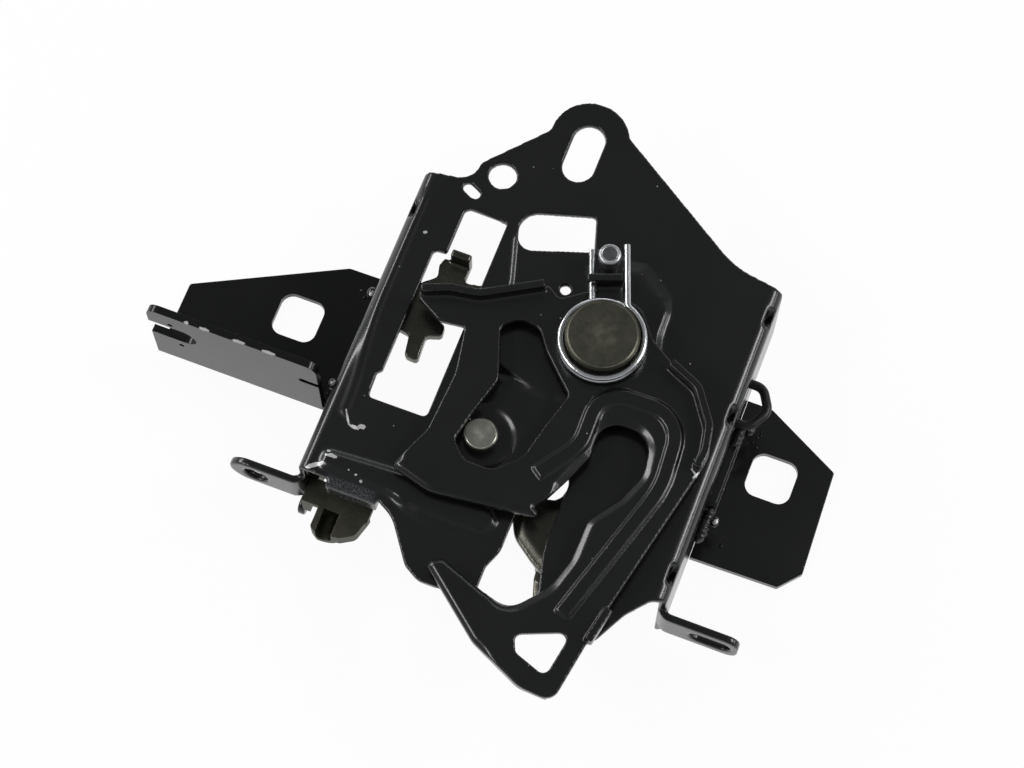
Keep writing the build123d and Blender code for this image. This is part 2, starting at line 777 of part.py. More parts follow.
def safety_catch():
    """Black lever with drawn keyhole, turned edges, bead, tongue and finger hole."""
    lever = slab(catch_blank(), catch_back, catch_front)
    slope = degrees(atan2(shoulder_width, shoulder_drop))
    sunk = extrude(keyhole_void(), amount=shoulder_drop, dir=(0, 0, 1), taper=-slope)
    lever -= Pos(0, 0, catch_front - shoulder_drop) * sunk
    lever += slab(Pos(0, pivot_y) * Circle(hub_radius), catch_back, catch_front)
    lever -= slab(catch_window(), catch_back - 1, catch_front + 1)
    finger_hole = outline((7.9, -50.3, 2.0), (23.7, -43.8, 2.2), (21.0, -59.3, 2.2), (10.2, -55.5, 2.0))
    lever -= slab(finger_hole, catch_back - 1, catch_front + 1)
    beads, hollow = crook_bead()
    lever = lever + beads - hollow
    lever += edge_wall(((-58.6, 42.0), (-50.0, 45.4), (-41.0, 46.8), (-23.2, 57.2)), 8, catch_back, catch_edge_top)
    lever += edge_wall(((22.6, 46.6), (33.0, 42.0), (40.4, 31.2), (42.0, 22.6), (41.2, 17.8)), 6,
                       catch_back, catch_edge_top)
    lever += edge_wall(((31.6, -33.5), (29.2, -45.0)), 0, catch_back, catch_front + 2.4)
    rolled = ((23.6, -64.0), (14.8, -63.7), (-2.6, -55.7), (-23.4, -38.9))
    lever += edge_wall(rolled, 8, catch_back - catch_roll, catch_front)
    stem_left = leg_offset - leg_spread / 2 + centring_wire / 2 + 0.25
    stem_right = leg_offset + leg_spread / 2 - centring_wire / 2 - 0.25
    near = centring_radius + centring_wire + 4.2
    tongue_flat = make_face(Polyline(*[spring_point(a, b) for a, b in (
        (stem_left, 10), (stem_right, 10), (stem_right, near + catch_sheet), (stem_left, near + catch_sheet))],
        close=True))
    tongue_wall = make_face(Polyline(*[spring_point(a, b) for a, b in (
        (stem_left, near), (stem_right, near), (stem_right, near + catch_sheet), (stem_left, near + catch_sheet))],
        close=True))
    tee = make_face(Polyline(*[spring_point(a, b) for a, b in (
        (stem_left - 2.8, near), (stem_right, near), (stem_right, near + catch_sheet),
        (stem_left - 2.8, near + catch_sheet))], close=True))
    tee_low = collar_bottom + centring_wire + 0.4
    lever += slab(tongue_flat, catch_back, catch_front)
    lever += slab(tongue_wall, catch_back, tee_low + catch_sheet)
    lever += slab(tee, tee_low, tee_low + catch_sheet)
    lever -= rod(0, pivot_y, bush_radius + fit_gap, catch_back - 5, catch_front + 5)
    return sole(lever)


def main_hook():
    """Thick hook behind the plate: claw across the mouth, arm with fork and tab in the left window."""
    shoulder = sheet + buffer_depth + seat_gap
    body = slab(outline(
        (-8.0, 64.0, 6),
        (*stop_point(7.0, shoulder), 2),
        (*stop_point(-6.0, shoulder), 3),
        (-41.0, 55.0, 4),
        (-49.0, 53.4, 1.2),
        (-49.0, 61.0, 0.6),
        (-55.6, 61.0, 0.6),
        (-55.8, 59.0, 0.3),
        (-57.6, 59.4, 0.9),
        (-58.6, 56.4, 1.2),
        (-57.6, 52.4, 1.5),
        (-63.6, 47.0, 3),
        (-63.6, 31.8, 1.5),
        (-58.8, 31.0, 1),
        (-57.6, 23.8, 1.4),
        (-53.0, 23.4, 1.2),
        (-53.6, 32.4, 1),
        (-48.9, 34.0, 1.2),
        (-49.2, 37.6, 1.2),
        (-51.4, 38.6, 0.6),
        (-51.0, 40.8, 0.8),
        (-41.5, 41.2, 2),
        (-36.0, hook_arm_y, 3),
        (-14.0, hook_arm_y, 4),
        (5.6, 27.0, 6),
        (8.4, 8.0, 6),
        (claw_grip + 1.6, 1.0, 2),
        (claw_grip + 0.4, -3.4, 3.5),
        (0.0, -claw_grip - 0.2, 3),
        (-7.6, -claw_grip + 0.4, 1.5),
        (-8.4, -10.6, 2.5),
        (-4.2, -19.0, 8),
        (3.0, -24.2, 6),
        (10.4, -28.6, 2.5),
        (19.6, -16.0, 8),
        (23.4, 6.0, 16),
        (21.0, 30.0, 14),
        (15.6, 44.0, 8),
        (15.6, 60.0, 12),
    ), hook_back, hook_front)
    body += rod(0, pivot_y, hub_radius, hook_back, hook_front)
    tab = block(-55.6, -49.0, 58.5, 61.0, hook_back, 2.6)
    rims = tab.edges().filter_by(Axis.Y).group_by(Axis.Z)[-1]
    body += fillet(rims, 0.8)
    lip = slab(make_face(Polyline((4.6, -25.0), (9.8, -28.0), (10.8, -26.0), (5.6, -23.0), close=True)),
               hook_back - 5.0, hook_front)
    body += lip
    body -= rod(0, pivot_y, bush_radius + fit_gap, hook_back - 1, hook_front + 1)
    body -= rod(setting_x - 0.6, setting_y + 1.4, 2 * setting_radius, hook_back - 1, hook_front + 1)
    return sole(body)


def coil_run(radius, pitch, turns, start_angle, start_z):
    """Helical centre line round the pivot, counter-clockwise upwards."""
    helix = Helix(pitch=pitch, height=pitch * turns, radius=radius)
    return Pos(0, pivot_y, start_z) * Rot(0, 0, start_angle) * helix


def coil(run, wire):
    """Round wire along a helical centre line."""
    section = Plane(origin=run @ 0, z_dir=run % 0) * Circle(wire / 2)
    return sweep(section, path=run, is_frenet=True)


def centring_spring():
    """Bright torsion spring with two straight legs either side of the post."""
    wire = centring_wire
    first, last = 115.0, 45.0
    turns = (360.0 - first + last + 360.0) / 360.0
    run = coil_run(centring_radius, centring_pitch, turns, first + leg_angle - 90.0,
                   collar_bottom + wire / 2 + 0.05)
    body = coil(run, wire)
    beside = spring_point(1, 0) - pivot
    ahead = spring_point(0, 1) - pivot
    for start, leave, across in ((run @ 0, -(run % 0), leg_offset - leg_spread / 2),
                                 (run @ 1, run % 1, leg_offset + leg_spread / 2)):
        from_pivot = start - pivot
        corner = start + leave * ((across - from_pivot.dot(beside)) / leave.dot(beside))
        tip = corner + ahead * (leg_length - (corner - pivot).dot(ahead))
        body += wire_run([start, corner, tip], 2.0, wire / 2)
    return sole(body)


def hook_spring():
    """Dark torsion spring: anchor loop through the right flange, other leg under the hook's arm."""
    wire = hook_wire
    lead = 3.0
    top_z = anchor_height()
    low_z = top_z - hook_spring_turns * hook_spring_pitch
    y = pivot_y - hook_spring_radius
    run = coil_run(hook_spring_radius, hook_spring_pitch, hook_spring_turns, -90.0, low_z)
    body = coil(run, wire)
    loop_low = y + 7.0
    loop_high = loop_low + loop_height
    out = plate_right + loop_reach
    anchor = [run @ 1, (run @ 1) + (run % 1) * lead, (22, y, top_z), (36, loop_low, top_z),
              (out - 2, loop_low, top_z), (out + 2.0, (loop_low + loop_high) / 2, top_z),
              (out - 2, loop_high, top_z), (inner_right - 6, loop_high, top_z)]
    body += wire_run(anchor, 4.0, wire / 2)
    tip_y = hook_arm_y - seat_gap - wire / 2
    elbow = (-30, y, low_z)
    body += wire_run([run @ 0, (run @ 0) - (run % 0) * lead, elbow], 2.0, wire / 2)
    body += wire_run([elbow, (-30, tip_y, low_z + 6), (-30, tip_y, hook_front)], 1.6, wire / 2)
    body += Pos(*elbow) * Sphere(wire / 2 + joint_swell)
    return sole(body)


builders = {
    "base_plate": base_plate,
    "left_flange": lambda: plate_flange(-1),
    "right_flange": lambda: plate_flange(1),
    "left_wing_bracket": left_wing_bracket,
    "right_wing_bracket": right_wing_bracket,
    "left_weld_bead": lambda: weld_bead(-1),
    "right_weld_bead": lambda: weld_bead(1),
    "pivot_rivet": pivot_rivet,
    "catch_bush": catch_bush,
    "spring_collar": spring_collar,
    "hook_bush": hook_bush,
    "rear_washer": rear_washer,
    "rear_collar": rear_collar,
    "spring_post": spring_post,
    "guide_rivet": guide_rivet,
    "guide_washer": guide_washer,
    "cable_bracket": cable_bracket,
    "cable_bracket_rivet": cable_bracket_rivet,
    "hook_stop_buffer": hook_stop_buffer,
    "safety_catch": safety_catch,
    "centring_spring": centring_spring,
    "main_hook": main_hook,
    "hook_spring": hook_spring,
}

os.makedirs("parts", exist_ok=True)
for name, build in builders.items():
    export_step(build(), f"parts/{name}.step")
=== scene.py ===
import math
import random

import bmesh
import bpy
from bpy.props import FloatProperty, FloatVectorProperty, IntProperty, PointerProperty
from mathutils import Matrix, Vector, noise
from mathutils.bvhtree import BVHTree
from mathutils.geometry import intersect_point_line


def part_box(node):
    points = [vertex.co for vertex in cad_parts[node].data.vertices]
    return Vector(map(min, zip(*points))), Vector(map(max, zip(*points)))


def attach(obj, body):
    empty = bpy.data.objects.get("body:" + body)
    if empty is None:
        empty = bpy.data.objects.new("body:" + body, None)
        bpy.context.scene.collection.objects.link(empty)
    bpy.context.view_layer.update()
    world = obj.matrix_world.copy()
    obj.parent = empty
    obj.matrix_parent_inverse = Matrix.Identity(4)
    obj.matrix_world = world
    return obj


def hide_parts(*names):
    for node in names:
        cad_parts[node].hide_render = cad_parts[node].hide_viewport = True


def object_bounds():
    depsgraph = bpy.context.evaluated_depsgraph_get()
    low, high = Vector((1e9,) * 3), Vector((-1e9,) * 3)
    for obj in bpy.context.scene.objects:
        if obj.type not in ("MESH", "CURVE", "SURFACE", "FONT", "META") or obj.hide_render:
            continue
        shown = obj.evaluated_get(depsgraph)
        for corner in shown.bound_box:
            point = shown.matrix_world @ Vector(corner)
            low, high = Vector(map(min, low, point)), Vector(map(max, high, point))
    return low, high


bl_info = {
    "name": "Lid lock",
    "version": (1, 0, 0),
    "blender": (4, 5, 0),
    "location": "3D View > Sidebar > Lid lock",
    "description": "Finishes, welds and studio for a riveted lid lock",
    "category": "Object",
}

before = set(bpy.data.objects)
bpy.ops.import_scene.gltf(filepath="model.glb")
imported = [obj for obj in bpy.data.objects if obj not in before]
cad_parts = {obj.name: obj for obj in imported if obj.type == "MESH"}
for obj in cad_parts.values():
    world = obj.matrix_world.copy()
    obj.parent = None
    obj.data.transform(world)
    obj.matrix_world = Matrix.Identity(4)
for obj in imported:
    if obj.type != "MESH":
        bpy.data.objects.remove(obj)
cad_box = [list(corner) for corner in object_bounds()]
MM = 0.001

# Thickness of the pressed sheet, and the height of the wings' fronts
SHEET = 2.5 * MM
WING_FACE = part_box("right_wing_bracket")[0][2] + SHEET

# Rivet axes, in mm
MAIN_RIVET = (0.0, 46.0, 0.0)
GUIDE_RIVET = (-24.8, 6.0, 0.0)

# Tones of bare metal, of dust and of the painted sheen on the orange peel's crests
BARE_METAL = (0.52, 0.52, 0.51)
DUST = (0.22, 0.22, 0.215)
PEEL_CREST_SHEEN = (0.075, 0.083, 0.088)


# Sizes and colours a user would change

class CoatSettings(bpy.types.PropertyGroup):
    colour: FloatVectorProperty(
        name="Coat colour",
        description="Base colour of the black coat on the sheet metal",
        subtype="COLOR", default=(0.0048, 0.0049, 0.0050), min=0.0, max=1.0)
    roughness: FloatProperty(
        name="Coat roughness",
        description="How blurred the coat's reflections are",
        subtype="FACTOR", default=0.24, min=0.0, max=1.0)
    edge_radius: FloatProperty(
        name="Edge radius",
        description="Rounding of the sheet's cut edges as light sees it",
        unit="LENGTH", default=0.45 * MM, min=0.0)
    # Bare metal along the edges: partly real worn coat, partly a painted highlight on the edges
    edge_wear_and_highlight: FloatProperty(
        name="Edge wear and highlight",
        description="Amount of bright metal showing along worn edges",
        subtype="FACTOR", default=0.35, min=0.0, max=1.0)
    dust: FloatProperty(
        name="Dust",
        description="Amount of pale specks lying on the coat",
        subtype="FACTOR", default=0.5, min=0.0, max=1.0)


class MetalSettings(bpy.types.PropertyGroup):
    olive: FloatVectorProperty(
        name="Passivated colour",
        description="Colour of the olive passivated rivet, hook and cable holder",
        subtype="COLOR", default=(0.096, 0.093, 0.073), min=0.0, max=1.0)
    zinc: FloatVectorProperty(
        name="Zinc colour",
        description="Colour of the bright zinc spring",
        subtype="COLOR", default=(0.72, 0.73, 0.74), min=0.0, max=1.0)
    pale: FloatVectorProperty(
        name="Pale rivet colour",
        description="Colour of the guide rivet's head",
        subtype="COLOR", default=(0.30, 0.30, 0.26), min=0.0, max=1.0)
    hook: FloatVectorProperty(
        name="Hook colour",
        description="Colour of the main hook's dark passivated steel",
        subtype="COLOR", default=(0.082, 0.079, 0.067), min=0.0, max=1.0)
    dark_wire: FloatVectorProperty(
        name="Dark wire colour",
        description="Colour of the hook spring's phosphated wire",
        subtype="COLOR", default=(0.035, 0.035, 0.036), min=0.0, max=1.0)
    rubber: FloatVectorProperty(
        name="Rubber colour",
        description="Colour of the hook's stop buffer",
        subtype="COLOR", default=(0.012, 0.012, 0.012), min=0.0, max=1.0)


class WeldSettings(bpy.types.PropertyGroup):
    ripple: FloatProperty(
        name="Ripple pitch",
        description="Distance between two ripples of a weld bead",
        unit="LENGTH", default=1.7 * MM, min=0.0001)
    radius: FloatProperty(
        name="Bead radius",
        description="Radius of a weld bead's rounded face",
        unit="LENGTH", default=1.7 * MM, min=0.0001)
    spatter: IntProperty(
        name="Spatter drops",
        description="Number of small drops thrown beside each bead",
        default=16, min=0)
    seed: IntProperty(
        name="Seed",
        description="Start of the welds' random unevenness",
        default=7)


class StageSettings(bpy.types.PropertyGroup):
    floor_size: FloatProperty(
        name="Floor size",
        description="Length of the pale floor's sides",
        unit="LENGTH", default=6.0, min=0.5)
    front_power: FloatProperty(
        name="Front power",
        description="Power of the high soft light beyond the left wing, in front",
        subtype="POWER", default=5.0, min=0.0)
    back_power: FloatProperty(
        name="Back power",
        description="Power of the low soft light beyond the top slot",
        subtype="POWER", default=1.5, min=0.0)
    left_power: FloatProperty(
        name="Left power",
        description="Power of the low soft light at the left",
        subtype="POWER", default=4.5, min=0.0)
    right_power: FloatProperty(
        name="Right power",
        description="Power of the low soft light at the right",
        subtype="POWER", default=2.0, min=0.0)
    bend_power: FloatProperty(
        name="Bend power",
        description="Power of the higher light that the right-hand bends show as a soft band",
        subtype="POWER", default=5.5, min=0.0)
    zenith: FloatProperty(
        name="Ceiling glow",
        description="Brightness of the room straight above, as surfaces see it",
        subtype="FACTOR", default=0.22, min=0.0, max=2.0)
    horizon: FloatProperty(
        name="Wall glow",
        description="Brightness of the room at the horizon, as surfaces see it",
        subtype="FACTOR", default=0.5, min=0.0, max=2.0)
    lens: FloatProperty(
        name="Lens",
        description="Focal length of the camera on a 36 mm sensor, in millimetres",
        default=94.92, min=10.0)


# Helpers for shader trees

def metres(place):
    """A place or reach in millimetres, turned into metres."""
    return tuple(MM * v for v in place)


def shade(colour, share, lift=0.0):
    """A colour made darker or lighter by a share, then lifted."""
    return tuple(min(1.0, share * c + lift) for c in colour)


class Tree:
    """A material's or group's node tree, with short calls to add and join nodes."""

    def __init__(self, tree):
        self.tree = tree
        self.count = 0

    def node(self, kind, values=None, **settings):
        """New node with its settings, and its inputs set or joined."""
        made = self.tree.nodes.new(kind)
        row, column = divmod(self.count, 8)
        made.location = (220 * column, -260 * row)
        self.count += 1
        for key, value in settings.items():
            setattr(made, key, value)
        for key, value in (values or {}).items():
            socket = made.inputs[key]
            if isinstance(value, bpy.types.NodeSocket):
                self.tree.links.new(value, socket)
            else:
                socket.default_value = value
        return made

    def maths(self, operation, first, second=None):
        """Result of a sum on one or two numbers."""
        values = {0: first}
        if second is not None:
            values[1] = second
        return self.node("ShaderNodeMath", values, operation=operation).outputs[0]

    def vector(self, operation, first, second=None):
        """Result of a sum on one or two vectors."""
        values = {0: first}
        if second is not None:
            values[1] = second
        made = self.node("ShaderNodeVectorMath", values, operation=operation)
        return made.outputs["Value"] if operation in ("DOT_PRODUCT", "LENGTH") else made.outputs[0]

    def ramp(self, value, low, high):
        """Smooth rise from 0 at low to 1 at high."""
        made = self.node("ShaderNodeMapRange", {"Value": value, "From Min": low, "From Max": high},
                         interpolation_type="SMOOTHSTEP")
        return made.outputs["Result"]

    def mix(self, factor, first, second):
        """Blend of two colours."""
        made = self.node("ShaderNodeMix", {"Factor": factor}, data_type="RGBA")
        for socket, value in ((made.inputs[6], first), (made.inputs[7], second)):
            if isinstance(value, bpy.types.NodeSocket):
                self.tree.links.new(value, socket)
            else:
                socket.default_value = (*value, 1.0)
        return made.outputs[2]

    def noise(self, vector, scale, detail=3.0, roughness=0.55):
        """Cloudy unevenness between 0 and 1."""
        made = self.node("ShaderNodeTexNoise", {"Vector": vector, "Scale": scale, "Detail": detail,
                                                "Roughness": roughness})
        return made.outputs["Fac"]


def new_group(name, inputs, outputs):
    """Shader group with named float inputs and outputs, and its tree."""
    group = bpy.data.node_groups.new(name, "ShaderNodeTree")
    for label, default in inputs:
        kind = "NodeSocketVector" if isinstance(default, tuple) else "NodeSocketFloat"
        group.interface.new_socket(label, in_out="INPUT", socket_type=kind).default_value = default
    for label, kind in outputs:
        group.interface.new_socket(label, in_out="OUTPUT", socket_type=kind)
    tree = Tree(group)
    return group, tree, tree.node("NodeGroupInput"), tree.node("NodeGroupOutput")


def edge_wear_highlight_group():
    """Mask of edges where a coat has rubbed thin, which also serves as a painted highlight along the
    edges.
    """
    group, tree, given, out = new_group(
        "Edge wear and highlight",
        [("Radius", 0.5 * MM), ("Break-up", 400.0), ("Amount", 0.5)],
        [("Mask", "NodeSocketFloat")])
    coords = tree.node("ShaderNodeTexCoord").outputs["Object"]
    rounded = tree.node("ShaderNodeBevel", {"Radius": given.outputs["Radius"]}, samples=4).outputs[0]
    flat = tree.node("ShaderNodeNewGeometry").outputs["Normal"]
    edge = tree.maths("SUBTRACT", 1.0, tree.vector("DOT_PRODUCT", rounded, flat))
    near = tree.ramp(edge, 0.02, 0.16)
    broken = tree.noise(coords, given.outputs["Break-up"], 4.0, 0.65)
    limit = tree.maths("SUBTRACT", 0.78, tree.maths("MULTIPLY", given.outputs["Amount"], 0.42))
    worn = tree.ramp(tree.maths("SUBTRACT", broken, limit), 0.0, 0.05)
    tree.tree.links.new(tree.maths("MULTIPLY", near, worn), out.inputs["Mask"])
    return group


def specks_group():
    """Mask of small pale specks scattered over a surface."""
    group, tree, given, out = new_group(
        "Specks",
        [("Scale", 260.0), ("Size", 0.06), ("Amount", 0.5)],
        [("Mask", "NodeSocketFloat")])
    coords = tree.node("ShaderNodeTexCoord").outputs["Object"]
    cells = tree.node("ShaderNodeTexVoronoi", {"Vector": coords, "Scale": given.outputs["Scale"]})
    dot = tree.maths("LESS_THAN", cells.outputs["Distance"], given.outputs["Size"])
    tone = tree.node("ShaderNodeSeparateColor", {"Color": cells.outputs["Color"]}).outputs[0]
    kept = tree.maths("LESS_THAN", tone, tree.maths("MULTIPLY", given.outputs["Amount"], 0.16))
    tree.tree.links.new(tree.maths("MULTIPLY", dot, kept), out.inputs["Mask"])
    return group


def scratches_group():
    """Mask of fine scratches in two directions."""
    group, tree, given, out = new_group(
        "Fine scratches",
        [("Scale", 300.0), ("Length", 14.0), ("Turn", 0.6), ("Width", 0.03)],
        [("Mask", "NodeSocketFloat")])
    coords = tree.node("ShaderNodeTexCoord").outputs["Object"]
    masks = []
    for side in (1.0, -1.37):
        turn = tree.maths("MULTIPLY", given.outputs["Turn"], side)
        spun = tree.node("ShaderNodeVectorRotate", {"Vector": coords, "Angle": turn},
                         rotation_type="Z_AXIS").outputs[0]
        stretch = tree.node("ShaderNodeCombineXYZ", {"X": given.outputs["Length"], "Y": 1.0, "Z": 1.0})
        squeezed = tree.vector("DIVIDE", spun, stretch.outputs[0])
        lines = tree.noise(squeezed, given.outputs["Scale"], 5.0, 0.7)
        offset = tree.maths("ABSOLUTE", tree.maths("SUBTRACT", lines, 0.5))
        line = tree.maths("LESS_THAN", offset, given.outputs["Width"])
        patch = tree.ramp(tree.noise(spun, 120.0, 2.0), 0.5, 0.62)
        masks.append(tree.maths("MULTIPLY", line, patch))
    tree.tree.links.new(tree.maths("MAXIMUM", masks[0], masks[1]), out.inputs["Mask"])
    return group


def chip_group():
    """Mask of one ragged chip at a place, of a given half length, half width and half depth."""
    group, tree, given, out = new_group(
        "Coat chip",
        [("Place", (0.0, 0.0, 0.0)), ("Half length", 2.0 * MM), ("Half width", 0.6 * MM),
         ("Half depth", 3.0 * MM), ("Turn", 0.0)],
        [("Mask", "NodeSocketFloat")])
    coords = tree.node("ShaderNodeTexCoord").outputs["Object"]
    local = tree.vector("SUBTRACT", coords, given.outputs["Place"])
    back = tree.maths("MULTIPLY", given.outputs["Turn"], -1.0)
    spun = tree.node("ShaderNodeVectorRotate", {"Vector": local, "Angle": back},
                     rotation_type="Z_AXIS").outputs[0]
    size = tree.node("ShaderNodeCombineXYZ", {"X": given.outputs["Half length"],
                                              "Y": given.outputs["Half width"],
                                              "Z": given.outputs["Half depth"]})
    reach = tree.vector("LENGTH", tree.vector("DIVIDE", spun, size.outputs[0]))
    ragged = tree.maths("ADD", reach, tree.maths("MULTIPLY", tree.noise(coords, 900.0, 3.0), 1.5))
    mask = tree.ramp(tree.maths("SUBTRACT", 1.75, ragged), 0.0, 0.12)
    tree.tree.links.new(mask, out.inputs["Mask"])
    return group


def area_group():
    """Mask of a soft-edged box round a place."""
    group, tree, given, out = new_group(
        "Area",
        [("Centre", (0.0, 0.0, 0.0)), ("Reach", (1.0 * MM, 1.0 * MM, 1.0 * MM))],
        [("Mask", "NodeSocketFloat")])
    coords = tree.node("ShaderNodeTexCoord").outputs["Object"]
    away = tree.vector("ABSOLUTE", tree.vector("SUBTRACT", coords, given.outputs["Centre"]))
    shares = tree.vector("DIVIDE", away, given.outputs["Reach"])
    parts = tree.node("ShaderNodeSeparateXYZ", {0: shares})
    widest = tree.maths("MAXIMUM", parts.outputs[0], parts.outputs[1])
    widest = tree.maths("MAXIMUM", widest, parts.outputs[2])
    tree.tree.links.new(tree.maths("SUBTRACT", 1.0, tree.ramp(widest, 0.6, 1.0)), out.inputs["Mask"])
    return group


GROUP_MAKERS = {
    "Area": area_group,
    "Edge wear and highlight": edge_wear_highlight_group,
    "Specks": specks_group,
    "Fine scratches": scratches_group,
    "Coat chip": chip_group,
}


def use_group(tree, name, values):
    """The named shared effect placed in a material, and its first output."""
    group = bpy.data.node_groups.get(name) or GROUP_MAKERS[name]()
    made = tree.node("ShaderNodeGroup", node_tree=group)
    for key, value in values.items():
        made.inputs[key].default_value = value
    return made.outputs[0]


def new_material(name):
    """Empty material, its tree, its Principled shader and object coordinates."""
    made = bpy.data.materials.new(name)
    made.use_nodes = True
    made.node_tree.nodes.clear()
    tree = Tree(made.node_tree)
    shader = tree.node("ShaderNodeBsdfPrincipled")
    output = tree.node("ShaderNodeOutputMaterial")
    made.node_tree.links.new(shader.outputs[0], output.inputs["Surface"])
    coords = tree.node("ShaderNodeTexCoord").outputs["Object"]
    return made, tree, shader, coords


def feed(tree, shader, label, value):
    """Joins a value to a shader's input."""
    tree.tree.links.new(value, shader.inputs[label])


def feed_relief(tree, shader, height, strength, radius):
    """Gives a shader a fine relief, and edges rounded by a radius."""
    rounded = tree.node("ShaderNodeBevel", {"Radius": radius}, samples=6).outputs[0]
    bump = tree.node("ShaderNodeBump", {"Height": height, "Strength": strength, "Distance": 0.2 * MM,
                                        "Normal": rounded})
    feed(tree, shader, "Normal", bump.outputs[0])


def coat_material(name, settings, chips=(), specks=1.0, rubbed=(), orange_peel=None, gloss=0.38):
    """Black dip coat: soft gloss, faint unevenness, worn edges that partly serve as painted edge
    highlights, specks, chips and painted sheen on the orange peel.

    A chip is its place, half length, half width, turn in degrees and half depth. A rubbed stretch is
    its centre, reach, break-up and amount. orange_peel is a centre and reach. Lengths are in mm.
    """
    made, tree, shader, coords = new_material(name)
    cloud = tree.noise(coords, 38.0, 4.0)
    fine = tree.noise(coords, 900.0, 3.0)
    tone = tree.mix(cloud, shade(settings.colour, 0.82), shade(settings.colour, 1.35))
    # Worn edges: partly real rubbed coat, partly painted highlight lines along every edge
    worn = use_group(tree, "Edge wear and highlight", {"Radius": 0.4 * MM, "Break-up": 520.0,
                                         "Amount": settings.edge_wear_and_highlight})
    for centre, reach, scale, amount in rubbed:
        near = use_group(tree, "Area", {"Centre": metres(centre), "Reach": metres(reach)})
        dots = use_group(tree, "Edge wear and highlight", {"Radius": 0.5 * MM, "Break-up": scale, "Amount": amount})
        worn = tree.maths("MAXIMUM", worn, tree.maths("MULTIPLY", near, dots))
    dust = use_group(tree, "Specks", {"Scale": 330.0, "Size": 0.085, "Amount": settings.dust * specks})
    bare = worn
    for place, half_length, half_width, turn, half_depth in chips:
        chip = use_group(tree, "Coat chip", {"Place": metres(place), "Turn": math.radians(turn),
                                             "Half length": half_length * MM,
                                             "Half width": half_width * MM,
                                             "Half depth": half_depth * MM})
        bare = tree.maths("MAXIMUM", bare, chip)
    tone = tree.mix(bare, tone, BARE_METAL)
    tone = tree.mix(dust, tone, DUST)
    relief = tree.maths("MULTIPLY", fine, 0.6)
    if orange_peel is not None:
        centre, reach = orange_peel
        near = use_group(tree, "Area", {"Centre": metres(centre), "Reach": metres(reach)})
        grains = tree.noise(coords, 2400.0, 2.0)
        # Painted sheen: the orange peel's crests get a lighter tone, as if they caught the light; the
        # swell added below is real relief
        crests = tree.maths("MULTIPLY", near, tree.ramp(grains, 0.40, 0.72))
        tone = tree.mix(crests, tone, PEEL_CREST_SHEEN)
        swell = tree.maths("MULTIPLY", tree.maths("MULTIPLY", near, grains), 5.0)
        relief = tree.maths("ADD", relief, swell)
    feed(tree, shader, "Base Color", tone)
    rough = tree.maths("ADD", settings.roughness - 0.05, tree.maths("MULTIPLY", cloud, 0.12))
    rough = tree.maths("ADD", rough, tree.maths("MULTIPLY", tree.maths("MAXIMUM", bare, dust), 0.15))
    feed(tree, shader, "Roughness", rough)
    feed(tree, shader, "Metallic", tree.maths("MULTIPLY", bare, 0.5))
    shader.inputs["Specular IOR Level"].default_value = gloss
    shader.inputs["Coat Weight"].default_value = 0.25
    shader.inputs["Coat Roughness"].default_value = 0.12
    height = tree.maths("ADD", relief, tree.maths("MULTIPLY", cloud, 2.0))
    feed_relief(tree, shader, height, 0.10, settings.edge_radius)
    return made


def turned_head(tree, coords, colour, tone, height, centre, size):
    """Tone and relief of a turned head: fine rings, pale middle, painted shade on its rolled side,
    painted highlight on its lower rim.
    """
    middle = tree.vector("SUBTRACT", coords, metres(centre))
    flat = tree.vector("MULTIPLY", middle, (1.0, 1.0, 0.0))
    away = tree.vector("LENGTH", flat)
    ring = tree.node("ShaderNodeCombineXYZ", {"X": away}).outputs[0]
    drift = tree.vector("MULTIPLY", coords, (0.04, 0.04, 0.0))
    rings = tree.noise(tree.vector("ADD", ring, drift), 1500.0, 4.0)
    height = tree.maths("ADD", height, tree.maths("MULTIPLY", rings, 1.5))
    lift = tree.maths("SUBTRACT", 1.0, tree.ramp(away, 0.0, 0.75 * size))
    blot = tree.ramp(tree.noise(coords, 330.0, 3.0), 0.35, 0.7)
    pale = tree.maths("MULTIPLY", tree.maths("ADD", lift, 0.15), tree.maths("ADD", blot, 0.25))
    tone = tree.mix(tree.maths("MULTIPLY", pale, 0.75), tone, shade(colour, 2.1))
    # Painted shade: the rolled side beyond nine tenths of the radius is darkened
    side_shade = tree.ramp(away, 0.90 * size, 0.94 * size)
    tone = tree.mix(side_shade, tone, shade(colour, 0.55))
    # Painted highlight: a thin bright ring, on the head's lower side only
    gap = tree.maths("ABSOLUTE", tree.maths("SUBTRACT", away, 0.91 * size))
    rim = tree.maths("SUBTRACT", 1.0, tree.ramp(gap, 0.0, 0.16 * MM))
    towards = tree.vector("DOT_PRODUCT", flat, (0.35, -0.94, 0.0))
    lower = tree.ramp(towards, -0.2 * size, 0.5 * size)
    rim = tree.maths("MULTIPLY", tree.maths("MULTIPLY", rim, lower), tree.maths("ADD", blot, 0.2))
    return tree.mix(rim, tone, shade(colour, 3.4)), height


